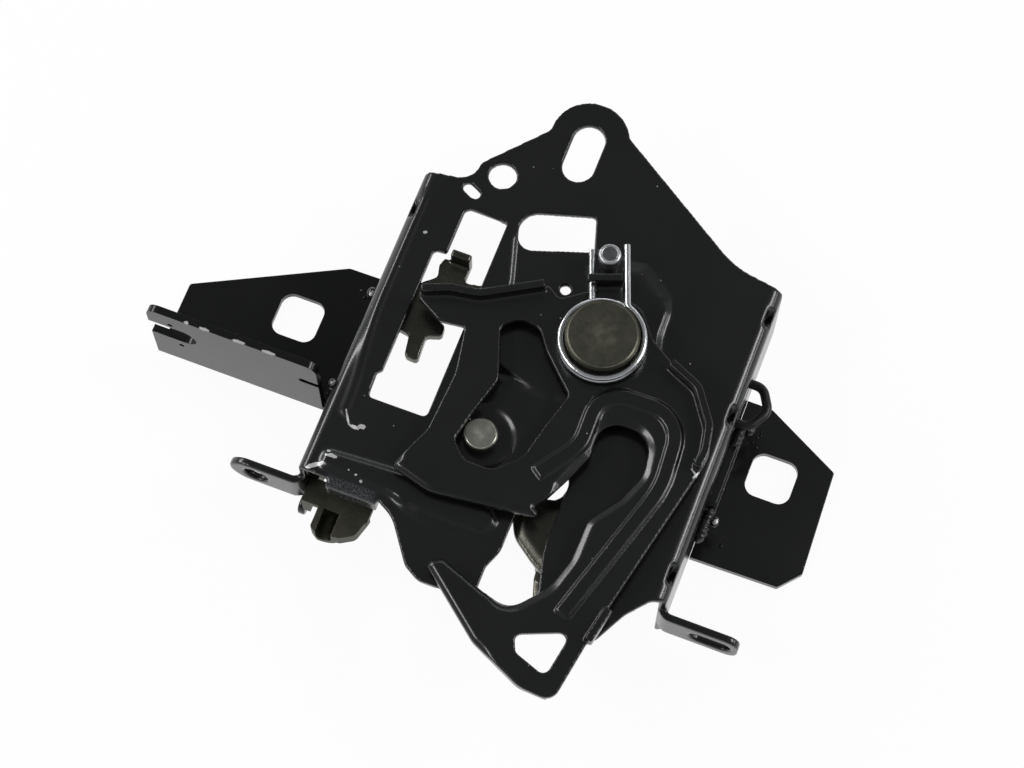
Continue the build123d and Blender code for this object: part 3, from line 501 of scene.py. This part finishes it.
def metal_material(name, colour, roughness, radius=0.25 * MM, mottle=0.3, scratch=0.5, turned=None):
    """Plated steel: mottled tone, fine scratches and rounded edges.

    turned is the centre and the radius in mm of a head that was turned, which also gets painted shade
    on its side and a painted highlight on its lower rim.
    """
    made, tree, shader, coords = new_material(name)
    cloud = tree.noise(coords, 190.0, 5.0, 0.62)
    fine = tree.noise(coords, 1500.0, 2.0)
    tone = tree.mix(cloud, shade(colour, 1.0 - mottle), shade(colour, 1.0 + mottle))
    lines = use_group(tree, "Fine scratches", {"Scale": 420.0, "Length": 12.0, "Turn": 0.7,
                                               "Width": 0.018})
    lines = tree.maths("MULTIPLY", lines, scratch)
    tone = tree.mix(lines, tone, shade(colour, 2.6, 0.05))
    height = tree.maths("ADD", fine, tree.maths("MULTIPLY", lines, -0.8))
    if turned is not None:
        centre, size = turned
        tone, height = turned_head(tree, coords, colour, tone, height, centre, size * MM)
    feed(tree, shader, "Base Color", tone)
    uneven = tree.maths("MULTIPLY", cloud, 0.14)
    feed(tree, shader, "Roughness", tree.maths("ADD", roughness - 0.06, uneven))
    shader.inputs["Metallic"].default_value = 1.0
    feed_relief(tree, shader, height, 0.12, radius)
    return made


def rubber_material(name, colour):
    """Moulded rubber: matt, slightly uneven, rounded edges."""
    made, tree, shader, coords = new_material(name)
    grain = tree.noise(coords, 1100.0, 3.0)
    tone = tree.mix(grain, shade(colour, 0.7), shade(colour, 1.6))
    feed(tree, shader, "Base Color", tone)
    feed(tree, shader, "Roughness", tree.maths("ADD", 0.68, tree.maths("MULTIPLY", grain, 0.2)))
    feed_relief(tree, shader, grain, 0.2, 0.5 * MM)
    return made


def dress(names, material):
    """Gives CAD nodes a material."""
    for name in names:
        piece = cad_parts[name]
        piece.data.materials.clear()
        piece.data.materials.append(material)


def mesh_from(tools, name):
    """The mesh that a bmesh holds, which is then freed."""
    mesh = bpy.data.meshes.new(name)
    tools.to_mesh(mesh)
    tools.free()
    return mesh


def add_piece(name, mesh, material, body="frame"):
    """Smooth object of one material that rides on a body."""
    mesh.name = name
    mesh.materials.clear()
    mesh.materials.append(material)
    for face in mesh.polygons:
        face.use_smooth = True
    piece = bpy.data.objects.new(name, mesh)
    bpy.context.collection.objects.link(piece)
    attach(piece, body)
    return piece


def settled_mesh(mesh, kind, values, weights=None):
    """A copy of a mesh after one modifier, which weights from 0 to 1 may hold back point by point."""
    carrier = bpy.data.objects.new("Carrier", mesh)
    bpy.context.collection.objects.link(carrier)
    modifier = carrier.modifiers.new(kind, kind)
    for key, value in values.items():
        setattr(modifier, key, value)
    if weights is not None:
        group = carrier.vertex_groups.new(name="Share")
        levels = {}
        for index, weight in enumerate(weights):
            levels.setdefault(round(weight, 2), []).append(index)
        for weight, indices in levels.items():
            group.add(indices, weight, "REPLACE")
        modifier.vertex_group = group.name
    depsgraph = bpy.context.evaluated_depsgraph_get()
    made = bpy.data.meshes.new_from_object(carrier.evaluated_get(depsgraph))
    bpy.data.objects.remove(carrier)
    return made


def pressed_piece(name, nodes, material, voxel, passes, body="frame", shape=None, soft=()):
    """One piece in place of CAD nodes, with soft pressed steps and crisp cut edges.

    shape moves a point, given its place and its distance from a cut edge. soft boxes, each a centre
    and a reach in mm, are drawn out more than the rest.
    """
    tools = bmesh.new()
    for node in nodes:
        tools.from_mesh(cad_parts[node].data)
    bmesh.ops.remove_doubles(tools, verts=tools.verts, dist=0.002 * MM)
    tools.verts.index_update()
    upright = 0.25
    cuts = [[point.index for point in face.verts]
            for face in tools.faces if abs(face.normal.z) < upright]
    walls = BVHTree.FromPolygons([point.co.copy() for point in tools.verts], cuts)
    mesh = mesh_from(tools, name + "_plain")
    mesh = settled_mesh(mesh, "REMESH", {"mode": "VOXEL", "voxel_size": voxel,
                                         "use_smooth_shade": True})
    # Reach in which a cut edge holds points back, reach of the search, and shares of the smoothing
    near = 1.4 * MM
    far = 5.0 * MM
    usual = 0.3
    at_wall = 0.35
    weights = []
    for point in mesh.vertices:
        distance = walls.find_nearest(point.co, far)[3]
        distance = far if distance is None else distance
        weight = usual
        for centre, reach in soft:
            inside = all(abs(c - MM * m) < MM * r for c, m, r in zip(point.co, centre, reach))
            weight = 1.0 if inside else weight
        weights.append(weight * (at_wall + (1.0 - at_wall) * min(1.0, distance / near) ** 2))
        if shape is not None:
            point.co = shape(point.co, distance)
    mesh = settled_mesh(mesh, "SMOOTH", {"factor": 0.5, "iterations": passes}, weights)
    piece = add_piece(name, mesh, material, body)
    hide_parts(*nodes)


# Lines pressed into the plate's front, as points across and along it in mm
PAD_LIP = ((-33.0, 31.0), (-32.0, 27.6), (-28.0, 25.9), (-16.0, 25.9), (-10.0, 25.4))
LOWER_RIDGE = ((-41.0, -21.8), (-38.2, -23.8), (-31.0, -25.2), (-18.0, -25.6))


def step(value, low, high):
    """Smooth rise from 0 at low to 1 at high."""
    share = min(1.0, max(0.0, (value - low) / (high - low)))
    return share * share * (3.0 - 2.0 * share)


def plate_form(place, distance):
    """Fine pressing of the plate: rib beside the left bend, two raised lines, pad's fading corner.

    The rib curls in and ends short of the bottom corner. The flanges' far parts stay as they are.
    """
    x, y, z = (c / MM for c in place)
    flange_start = -6.0
    if z < flange_start:
        return place
    drift = 3.4 * step(-y, -40.0, 0.0)
    curl = 6.8 * step(-y, 1.0, 5.2)
    rib_x = -70.9 + drift + curl
    rib_height = 0.8
    rib_width = 1.5
    across = math.exp(-((x - rib_x) / rib_width) ** 2)
    along = step(y, -6.4, -4.2) * (1.0 - step(y, 74.0, 80.0))
    rise = rib_height * across * along
    rise += 0.6 * ridge_share(x, y, LOWER_RIDGE, 1.3)
    rise += 0.7 * ridge_share(x, y, PAD_LIP, 1.0)
    rise -= pad_fade(x, y, z)
    return Vector((x, y, z + rise)) * MM


def ridge_share(x, y, line, width):
    """1 on a line of points, falling away to both sides."""
    place = Vector((x, y))
    gaps = []
    for start, end in zip(line, line[1:]):
        share = intersect_point_line(place, Vector(start), Vector(end))[1]
        share = min(1.0, max(0.0, share))
        gaps.append((Vector(start).lerp(Vector(end), share) - place).length)
    return math.exp(-((min(gaps) / width) ** 2))


def pad_fade(x, y, z):
    """Fall in mm by which the pad's upper right corner runs out into the plate without a step."""
    # How far a point is inside the pad's sloping top, cut corner and right side
    corner_x = 4.0
    corner_y = 80.5
    right_side = 16.0
    top = 0.164 * (x - corner_x) + 0.986 * (corner_y - y)
    corner = 0.585 * (corner_x - x) + 0.812 * (corner_y - y)
    inside = min(top, corner, right_side - x)
    if inside < -3.0:
        return 0.0
    share = (1.0 - step(inside, 0.0, 8.0)) * step(y, 65.0, 71.0) * step(x, -7.0, -2.0)
    pad_height = 1.5
    level = 0.0 if z > -0.3 else -SHEET / MM
    return min(pad_height * share, max(0.0, z - level))


def turned_edge(place, distance):
    """Lower edge of the catch, rounded where it turns down."""
    x, y, z = (c / MM for c in place)
    edge = 1.0 - step(distance / MM, 0.0, 1.7)
    stretch = step(-y, 8.0, 12.0) * (1.0 - step(x, 0.0, 6.0))
    fall = edge * stretch * step(z, 3.0, 5.0)
    return Vector((x, y, z - fall)) * MM


def crowned_hook(place, distance):
    """Front of the hook's claw, rounded down towards its edge."""
    x, y, z = (c / MM for c in place)
    claw = step(-y, -4.0, 8.0)
    front = step(z, -6.5, -4.0)
    fall = 1.1 * claw * front * (1.0 - step(distance / MM, 0.0, 4.0))
    return Vector((x, y, z - fall)) * MM


def random_shift(draws):
    """Random place in the noise, so that no two beads or drops are alike."""
    return Vector([draws.uniform(0.0, 50.0) for _ in range(3)])


def skin(tools, rings):
    """Four-sided faces between rings of points, each joined to the next."""
    count = len(rings[0])
    for first, second in zip(rings, rings[1:]):
        for index in range(count):
            after = (index + 1) % count
            tools.faces.new((first[index], first[after], second[after], second[index]))


# The lock's pieces

class LIDLOCK_OT_coated_sheet(bpy.types.Operator):
    """Coats the base plate and both wings"""
    bl_idname = "lidlock.coated_sheet"
    bl_label = "Coat the sheet metal"

    def execute(self, context):
        settings = context.scene.lidlock_coat
        # Place, half length, half width, turn and half depth of each chip
        plate_chips = (
            ((-65.6, -2.9, 0.4), 2.6, 0.35, -58.0, 3.0),
            ((-62.6, -5.0, 0.0), 1.8, 0.6, -6.0, 3.0),
            ((-60.3, -4.1, 0.0), 1.3, 0.9, 20.0, 3.0),
            ((-65.4, -16.5, 0.0), 2.2, 0.75, 5.0, 3.0),
            ((-66.9, -15.1, 0.0), 0.6, 0.5, 0.0, 3.0),
            ((-69.2, -20.7, -0.2), 3.3, 0.75, 34.0, 3.0),
            ((-58.6, -18.9, 0.0), 0.4, 0.35, 0.0, 3.0),
            ((-56.0, -19.6, 0.0), 0.45, 0.35, 0.0, 3.0),
            ((-53.9, -20.9, 0.0), 0.5, 0.4, 0.0, 3.0),
            ((-66.3, 64.0, 0.0), 0.7, 0.5, 40.0, 3.0),
        )
        # Stretches unlike the rest: an uneven wall with painted sheen on its orange peel, a rubbed ear
        # and the two softest pressings
        low_wall = ((-56.2, -24.6, -4.0), (9.5, 3.0, 6.0))
        left_ear = ((-90.0, -24.5, -11.0), (9.0, 2.5, 2.5), 700.0, 0.75)
        low_corner = ((-55.0, -15.0, 0.0), (14.0, 5.5, 6.0))
        guide_dish = (GUIDE_RIVET, (14.0, 14.0, 6.0))
        coat = coat_material("Plate coat", settings, plate_chips, rubbed=(left_ear,),
                             orange_peel=low_wall)
        pressed_piece("pressed_plate", ["base_plate", "left_flange", "right_flange"], coat,
                      voxel=0.5 * MM, passes=46, shape=plate_form,
                      soft=(low_corner, guide_dish))
        arm_chips = tuple(((x, 8.3, -0.1), length, 0.55, 0.0, 0.45)
                          for x, length in ((-124.9, 0.9), (-118.9, 1.8), (-107.1, 2.4), (-97.1, 2.4)))
        dress(["left_wing_bracket"], coat_material("Left wing coat", settings, arm_chips, gloss=0.16))
        dress(["right_wing_bracket"], coat_material("Right wing coat", settings))
        return {"FINISHED"}


class LIDLOCK_OT_safety_catch(bpy.types.Operator):
    """Coats the safety catch"""
    bl_idname = "lidlock.safety_catch"
    bl_label = "Coat the safety catch"

    def execute(self, context):
        settings = context.scene.lidlock_coat
        # Place, half length, half width, turn and half depth of each chip
        chips = (
            ((41.7, 15.9, 6.5), 2.6, 0.4, -36.0, 3.0),
            ((41.9, 16.2, 6.5), 2.0, 0.4, 62.0, 3.0),
            ((37.6, 47.0, 6.5), 0.8, 0.6, 0.0, 3.0),
        )
        lever_edge = ((37.5, -8.0, 6.5), (9.0, 32.0, 4.0), 900.0, 1.0)
        coat = coat_material("Catch coat", settings, chips, specks=1.3, rubbed=(lever_edge,))
        pressed_piece("safety_lever", ["safety_catch"], coat, voxel=0.42 * MM, passes=40,
                      body="catch", shape=turned_edge)
        return {"FINISHED"}


class LIDLOCK_OT_rivets(bpy.types.Operator):
    """Finishes the rivets, bushes, collars and washers"""
    bl_idname = "lidlock.rivets"
    bl_label = "Finish the rivets and bushes"

    def execute(self, context):
        settings = context.scene.lidlock_metal
        olive = metal_material("Passivated rivet", settings.olive, 0.42, radius=0.3 * MM, mottle=0.25,
                               scratch=0.18)
        dress(["cable_bracket_rivet"], olive)
        worn = metal_material("Worn post", shade(settings.zinc, 0.36), 0.30, radius=0.5 * MM,
                              mottle=0.6, scratch=0.3)
        dress(["spring_post"], worn)
        self.worn_head(settings)
        head = metal_material("Main rivet", settings.olive, 0.38, radius=0.12 * MM, mottle=0.3,
                              scratch=0.1, turned=(MAIN_RIVET, 12.0))
        dress(["pivot_rivet"], head)
        pale = metal_material("Pale rivet", settings.pale, 0.36, radius=0.3 * MM, mottle=0.35,
                              scratch=0.0, turned=(GUIDE_RIVET, 5.3))
        dress(["guide_rivet"], pale)
        plain = metal_material("Plain zinc", shade(settings.zinc, 0.45), 0.38, radius=0.2 * MM)
        dress(["catch_bush", "spring_collar", "hook_bush"], plain)
        dress(["rear_washer", "rear_collar", "guide_washer"], plain)
        return {"FINISHED"}

    def worn_head(self, settings):
        """Head of the spring's post: upset rim rubbed bright round a shallow dish."""
        low, high = (Vector(corner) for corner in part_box("spring_post"))
        axis = Vector(((low.x + high.x) / 2.0, (low.y + high.y) / 2.0, 0.0))
        # Radius and height above the post's top, in mm
        profile = ((3.0, -5.2), (3.5, -4.9), (3.6, -0.9), (3.45, -0.25), (3.05, 0.12), (2.6, 0.1),
                   (2.3, -0.15), (1.2, -0.3), (0.4, -0.32))
        tools = bmesh.new()
        count = 48
        rings = []
        for radius, rise in profile:
            ring = []
            for index in range(count):
                turn = math.tau * index / count
                out = Vector((math.cos(turn), math.sin(turn), 0.0)) * radius * MM
                ring.append(tools.verts.new(axis + out + Vector((0.0, 0.0, high.z + rise * MM))))
            rings.append(ring)
        skin(tools, rings)
        tools.faces.new(rings[-1])
        tools.faces.new(list(reversed(rings[0])))
        bright = metal_material("Rubbed head", shade(settings.zinc, 0.8), 0.34, radius=0.2 * MM,
                                mottle=0.55, scratch=0.4)
        piece = add_piece("post_head", mesh_from(tools, "post_head"), bright)


class LIDLOCK_OT_main_hook(bpy.types.Operator):
    """Finishes the main hook"""
    bl_idname = "lidlock.main_hook"
    bl_label = "Finish the main hook"

    def execute(self, context):
        settings = context.scene.lidlock_metal
        finish = metal_material("Passivated hook", settings.hook, 0.27, radius=0.3 * MM, mottle=0.35,
                                scratch=0.12)
        pressed_piece("sprung_hook", ["main_hook"], finish, voxel=0.45 * MM, passes=30,
                      body="hook", shape=crowned_hook)
        self.lip(finish)
        return {"FINISHED"}

    def lip(self, finish):
        """Lip bent back below the claw, which keeps the striker in."""
        # Left and right edge of the lip's front face from its root to its end, in mm
        front = (
            ((4.9, -18.4, -3.6), (7.6, -19.4, -3.6)),
            ((5.4, -27.6, -11.0), (10.0, -29.2, -11.0)),
            ((7.2, -33.2, -12.0), (11.0, -36.0, -12.0)),
        )
        through = Vector((0.4, 0.8, -3.2)) * MM
        tools = bmesh.new()
        rows = []
        for left, right in front:
            face = [Vector(left) * MM, Vector(right) * MM]
            back = [point + through for point in reversed(face)]
            rows.append([tools.verts.new(point) for point in face + back])
        skin(tools, rows)
        tools.faces.new(rows[0])
        tools.faces.new(rows[-1])
        bmesh.ops.recalc_face_normals(tools, faces=tools.faces)
        bmesh.ops.bevel(tools, geom=list(tools.edges), offset=0.5 * MM, segments=3, profile=0.5,
                        affect="EDGES")
        piece = add_piece("hook_lip", mesh_from(tools, "hook_lip"), finish, "hook")


class LIDLOCK_OT_cable_holder(bpy.types.Operator):
    """Finishes the cable holder"""
    bl_idname = "lidlock.cable_holder"
    bl_label = "Finish the cable holder"

    def execute(self, context):
        settings = context.scene.lidlock_metal
        finish = metal_material("Passivated holder", shade(settings.olive, 0.8), 0.5, radius=0.4 * MM,
                                mottle=0.35, scratch=0.12)
        dress(["cable_bracket"], finish)
        return {"FINISHED"}


class LIDLOCK_OT_springs(bpy.types.Operator):
    """Finishes both torsion springs"""
    bl_idname = "lidlock.springs"
    bl_label = "Finish the springs"

    def execute(self, context):
        settings = context.scene.lidlock_metal
        bright = metal_material("Bright zinc wire", settings.zinc, 0.19, radius=0.2 * MM, mottle=0.12,
                                scratch=0.3)
        dress(["centring_spring"], bright)
        dark = metal_material("Phosphated wire", settings.dark_wire, 0.4, radius=0.2 * MM, mottle=0.3,
                              scratch=0.2)
        dress(["hook_spring"], dark)
        return {"FINISHED"}


class LIDLOCK_OT_stop_buffer(bpy.types.Operator):
    """Finishes the hook's rubber stop"""
    bl_idname = "lidlock.stop_buffer"
    bl_label = "Finish the stop buffer"

    def execute(self, context):
        settings = context.scene.lidlock_metal
        dress(["hook_stop_buffer"], rubber_material("Stop rubber", settings.rubber))
        return {"FINISHED"}


class LIDLOCK_OT_weld_beads(bpy.types.Operator):
    """Lays the short rough welds at both ends of each wing's lap"""
    bl_idname = "lidlock.weld_beads"
    bl_label = "Weld the wings"

    def execute(self, context):
        settings = context.scene.lidlock_weld
        coat = context.scene.lidlock_coat
        draws = random.Random(settings.seed)
        for node, side in (("left_weld_bead", -1.0), ("right_weld_bead", 1.0)):
            low, high = (Vector(corner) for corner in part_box(node))
            face = high.x if side < 0 else low.x
            seat = Vector((face + side * 1.6 * MM, 0.0, high.z - 2.4 * MM))
            # Bead's start, bead's end and drop along the lap, and the drop's radius
            ends = (
                (high.y - 3.0 * MM, high.y - 11.0 * MM, high.y - 2.2 * MM, 1.75 * MM),
                (low.y + 3.5 * MM, low.y - 8.0 * MM, low.y + 0.5 * MM, 1.6 * MM),
            )
            tools = bmesh.new()
            bright = []
            for start_y, end_y, drop_y, drop_radius in ends:
                start = Vector((seat.x, start_y, seat.z))
                end = Vector((seat.x - side * 0.4 * MM, end_y, seat.z - 0.8 * MM))
                self.bead(tools, draws, start, end, side, settings)
                place = Vector((face + side * 4.1 * MM, drop_y, seat.z - 1.0 * MM))
                self.drop(tools, draws, place, drop_radius)
                # The drop's rubbed crown, given as a chip of bare metal that also serves as a painted
                # glint on the drop's top
                crown = place / MM + Vector((0.3, -0.2, 1.0))
                bright.append((tuple(crown), 1.2, 0.7, 60.0, 3.0))
            for _ in range(settings.spatter):
                y = draws.choice((high.y, low.y)) + draws.uniform(-3.5, 4.0) * MM
                x = face + side * draws.uniform(3.4, 9.0) * MM
                self.drop(tools, draws, Vector((x, y, WING_FACE)), draws.uniform(0.25, 0.6) * MM)
            label = node.replace("_", " ").capitalize()
            finish = coat_material(label, coat, tuple(bright), specks=2.0)
            name = node.replace("_bead", "s")
            piece = add_piece(name, mesh_from(tools, name), finish)
            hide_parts(node)
        return {"FINISHED"}

    def bead(self, tools, draws, start, end, side, settings):
        """Ragged bead with curved ripples and rounded ends."""
        along = end - start
        ahead = along.normalized()
        out = Vector((side, 0.0, 0.0))
        front = Vector((0.0, 0.0, 1.0))
        count = max(12, round(along.length / (0.2 * settings.ripple)))
        spokes = 16
        lumps = 260.0
        grit = 900.0
        shift = random_shift(draws)
        rings = []
        for index in range(count + 1):
            share = index / count
            ripple = math.cos(math.tau * share * along.length / settings.ripple)
            rounding = math.sqrt(max(0.02, 1.0 - abs(2.0 * share - 1.0) ** 5))
            girth = settings.radius * (1.0 + 0.10 * ripple) * rounding
            ring = []
            for spoke in range(spokes):
                angle = math.tau * spoke / spokes
                ray = out * math.cos(angle) + front * math.sin(angle)
                lag = ahead * (-0.35 * settings.ripple * max(0.0, math.cos(angle - 0.9)))
                core = start + along * share + lag
                rough = noise.noise(core * lumps + shift) * 0.35
                rough += noise.noise((core + ray * girth) * grit) * 0.18
                ring.append(tools.verts.new(core + ray * girth * (1.0 + rough)))
            rings.append(ring)
        skin(tools, rings)
        tools.faces.new(list(reversed(rings[0])))
        tools.faces.new(rings[-1])
        bmesh.ops.recalc_face_normals(tools, faces=tools.faces)

    def drop(self, tools, draws, place, radius):
        """Frozen drop with an uneven skin, flattened where it sits."""
        shift = random_shift(draws)
        splits = 3 if radius > 1.0 * MM else 1
        made = bmesh.ops.create_icosphere(tools, subdivisions=splits, radius=radius,
                                          matrix=Matrix.Translation(place))
        for point in made["verts"]:
            away = point.co - place
            away.y *= 1.2
            away.z *= 0.85
            point.co = place + away * (1.0 + 0.3 * noise.noise(away * (0.9 / radius) + shift))


class LIDLOCK_OT_stage(bpy.types.Operator):
    """Lays the floor and sets the lights and the camera"""
    bl_idname = "lidlock.stage"
    bl_label = "Set the stage"

    def execute(self, context):
        settings = context.scene.lidlock_stage
        scene = context.scene
        lowest = cad_box[0][2]
        self.floor(settings, lowest)
        self.sky(scene, settings)
        self.light("Front light", (-0.8, -0.42, 0.92), (0.6, 0.22), settings.front_power)
        self.light("Back light", (-0.1, 1.2, 0.6), (1.2, 0.14), settings.back_power)
        self.light("Left light", (-1.0, 0.22, 0.5), (0.7, 0.16), settings.left_power)
        self.light("Right light", (1.1, 0.35, 0.45), (0.6, 0.16), settings.right_power)
        self.light("Bend light", (0.82, 0.42, 0.88), (0.5, 0.24), settings.bend_power)
        self.camera(scene, settings)
        scene.view_settings.view_transform = "Standard"
        return {"FINISHED"}

    def floor(self, settings, height):
        """Pale floor just under the lock, which camera and gloss see as nearly white."""
        tools = bmesh.new()
        bmesh.ops.create_grid(tools, x_segments=1, y_segments=1, size=settings.floor_size / 2)
        mesh = mesh_from(tools, "Floor")
        floor = bpy.data.objects.new("Floor", mesh)
        clearance = 0.05 * MM
        floor.location = (0.0, 0.0, height - clearance)
        bpy.context.collection.objects.link(floor)
        made, tree, shader = new_material("Pale floor")[:3]
        shader.inputs["Roughness"].default_value = 0.9
        shader.inputs["Base Color"].default_value = (0.86, 0.86, 0.86, 1.0)
        path = tree.node("ShaderNodeLightPath")
        seen = tree.maths("MAXIMUM", path.outputs["Is Camera Ray"], path.outputs["Is Glossy Ray"])
        seen = tree.maths("MAXIMUM", seen, path.outputs["Is Transmission Ray"])
        glow = tree.node("ShaderNodeEmission", {"Color": (1.0, 1.0, 1.0, 1.0), "Strength": 1.0})
        whiteness = 0.95
        blend = tree.node("ShaderNodeMixShader", {"Fac": tree.maths("MULTIPLY", seen, whiteness)})
        links = made.node_tree.links
        links.new(shader.outputs[0], blend.inputs[1])
        links.new(glow.outputs[0], blend.inputs[2])
        output = [item for item in made.node_tree.nodes if item.type == "OUTPUT_MATERIAL"][0]
        links.new(blend.outputs[0], output.inputs["Surface"])
        mesh.materials.append(made)

    def sky(self, scene, settings):
        """Room that lights the lock, brighter at its walls, and a white backdrop for the camera."""
        world = bpy.data.worlds.new("Studio")
        scene.world = world
        world.use_nodes = True
        world.node_tree.nodes.clear()
        tree = Tree(world.node_tree)
        path = tree.node("ShaderNodeLightPath")
        back = tree.node("ShaderNodeBackground", {"Color": (1.0, 1.0, 1.0, 1.0), "Strength": 1.0})
        ray = tree.node("ShaderNodeTexCoord").outputs["Generated"]
        rise = tree.node("ShaderNodeSeparateXYZ", {0: ray}).outputs["Z"]
        glow = tree.node("ShaderNodeMapRange", {"Value": rise, "From Min": 0.1, "From Max": 0.8,
                                                "To Min": settings.horizon, "To Max": settings.zenith})
        soft = tree.node("ShaderNodeBackground", {"Color": (0.94, 0.97, 1.0, 1.0),
                                                  "Strength": glow.outputs["Result"]})
        blend = tree.node("ShaderNodeMixShader", {"Fac": path.outputs["Is Camera Ray"]})
        output = tree.node("ShaderNodeOutputWorld")
        links = world.node_tree.links
        links.new(soft.outputs[0], blend.inputs[1])
        links.new(back.outputs[0], blend.inputs[2])
        links.new(blend.outputs[0], output.inputs["Surface"])

    def light(self, name, place, size, power):
        """Soft oblong lamp that faces the frame's origin."""
        lamp = bpy.data.lights.new(name, "AREA")
        lamp.shape = "RECTANGLE"
        lamp.size, lamp.size_y = size
        lamp.energy = power
        made = bpy.data.objects.new(name, lamp)
        made.location = place
        made.rotation_euler = (-Vector(place)).to_track_quat("-Z", "Y").to_euler()
        bpy.context.collection.objects.link(made)

    def camera(self, scene, settings):
        """Camera at the photograph's angle, tilted back and turned about the upright axis."""
        tilt = math.radians(20.5)
        turn = math.radians(21.0)
        place = Vector((83.3, -248.8, 786.7)) * MM
        right = Vector((math.cos(turn), math.sin(turn), 0.0))
        ahead = Vector((-math.sin(turn), math.cos(turn), 0.0))
        up = ahead * math.cos(tilt) + Vector((0.0, 0.0, math.sin(tilt)))
        back = right.cross(up)
        lens = bpy.data.cameras.new("Camera")
        lens.lens = settings.lens
        lens.sensor_width = 36.0
        lens.clip_start = 0.01
        lens.clip_end = 20.0
        made = bpy.data.objects.new("Camera", lens)
        made.matrix_world = Matrix.Translation(place) @ Matrix((right, up, back)).transposed().to_4x4()
        bpy.context.collection.objects.link(made)
        scene.camera = made


OPERATORS = (
    LIDLOCK_OT_coated_sheet,
    LIDLOCK_OT_safety_catch,
    LIDLOCK_OT_rivets,
    LIDLOCK_OT_main_hook,
    LIDLOCK_OT_cable_holder,
    LIDLOCK_OT_springs,
    LIDLOCK_OT_stop_buffer,
    LIDLOCK_OT_weld_beads,
    LIDLOCK_OT_stage,
)


class LIDLOCK_PT_sidebar(bpy.types.Panel):
    """Lists the lock's steps and settings"""
    bl_label = "Lid lock"
    bl_idname = "LIDLOCK_PT_sidebar"
    bl_space_type = "VIEW_3D"
    bl_region_type = "UI"
    bl_category = "Lid lock"

    def draw(self, context):
        for operator in OPERATORS:
            self.layout.operator(operator.bl_idname)
        for group in (context.scene.lidlock_coat, context.scene.lidlock_metal,
                      context.scene.lidlock_weld, context.scene.lidlock_stage):
            box = self.layout.box()
            for key in group.bl_rna.properties.keys():
                if key not in ("rna_type", "name"):
                    box.prop(group, key)


SETTINGS = (
    ("lidlock_coat", CoatSettings),
    ("lidlock_metal", MetalSettings),
    ("lidlock_weld", WeldSettings),
    ("lidlock_stage", StageSettings),
)


def register():
    for label, group in SETTINGS:
        bpy.utils.register_class(group)
        setattr(bpy.types.Scene, label, PointerProperty(type=group))
    for operator in OPERATORS:
        bpy.utils.register_class(operator)
    bpy.utils.register_class(LIDLOCK_PT_sidebar)


def unregister():
    bpy.utils.unregister_class(LIDLOCK_PT_sidebar)
    for operator in reversed(OPERATORS):
        bpy.utils.unregister_class(operator)
    for label, group in reversed(SETTINGS):
        delattr(bpy.types.Scene, label)
        bpy.utils.unregister_class(group)


def main():
    register()
    for operator in OPERATORS:
        family, action = operator.bl_idname.split(".")
        getattr(getattr(bpy.ops, family), action)()


if __name__ == "__main__":
    main()
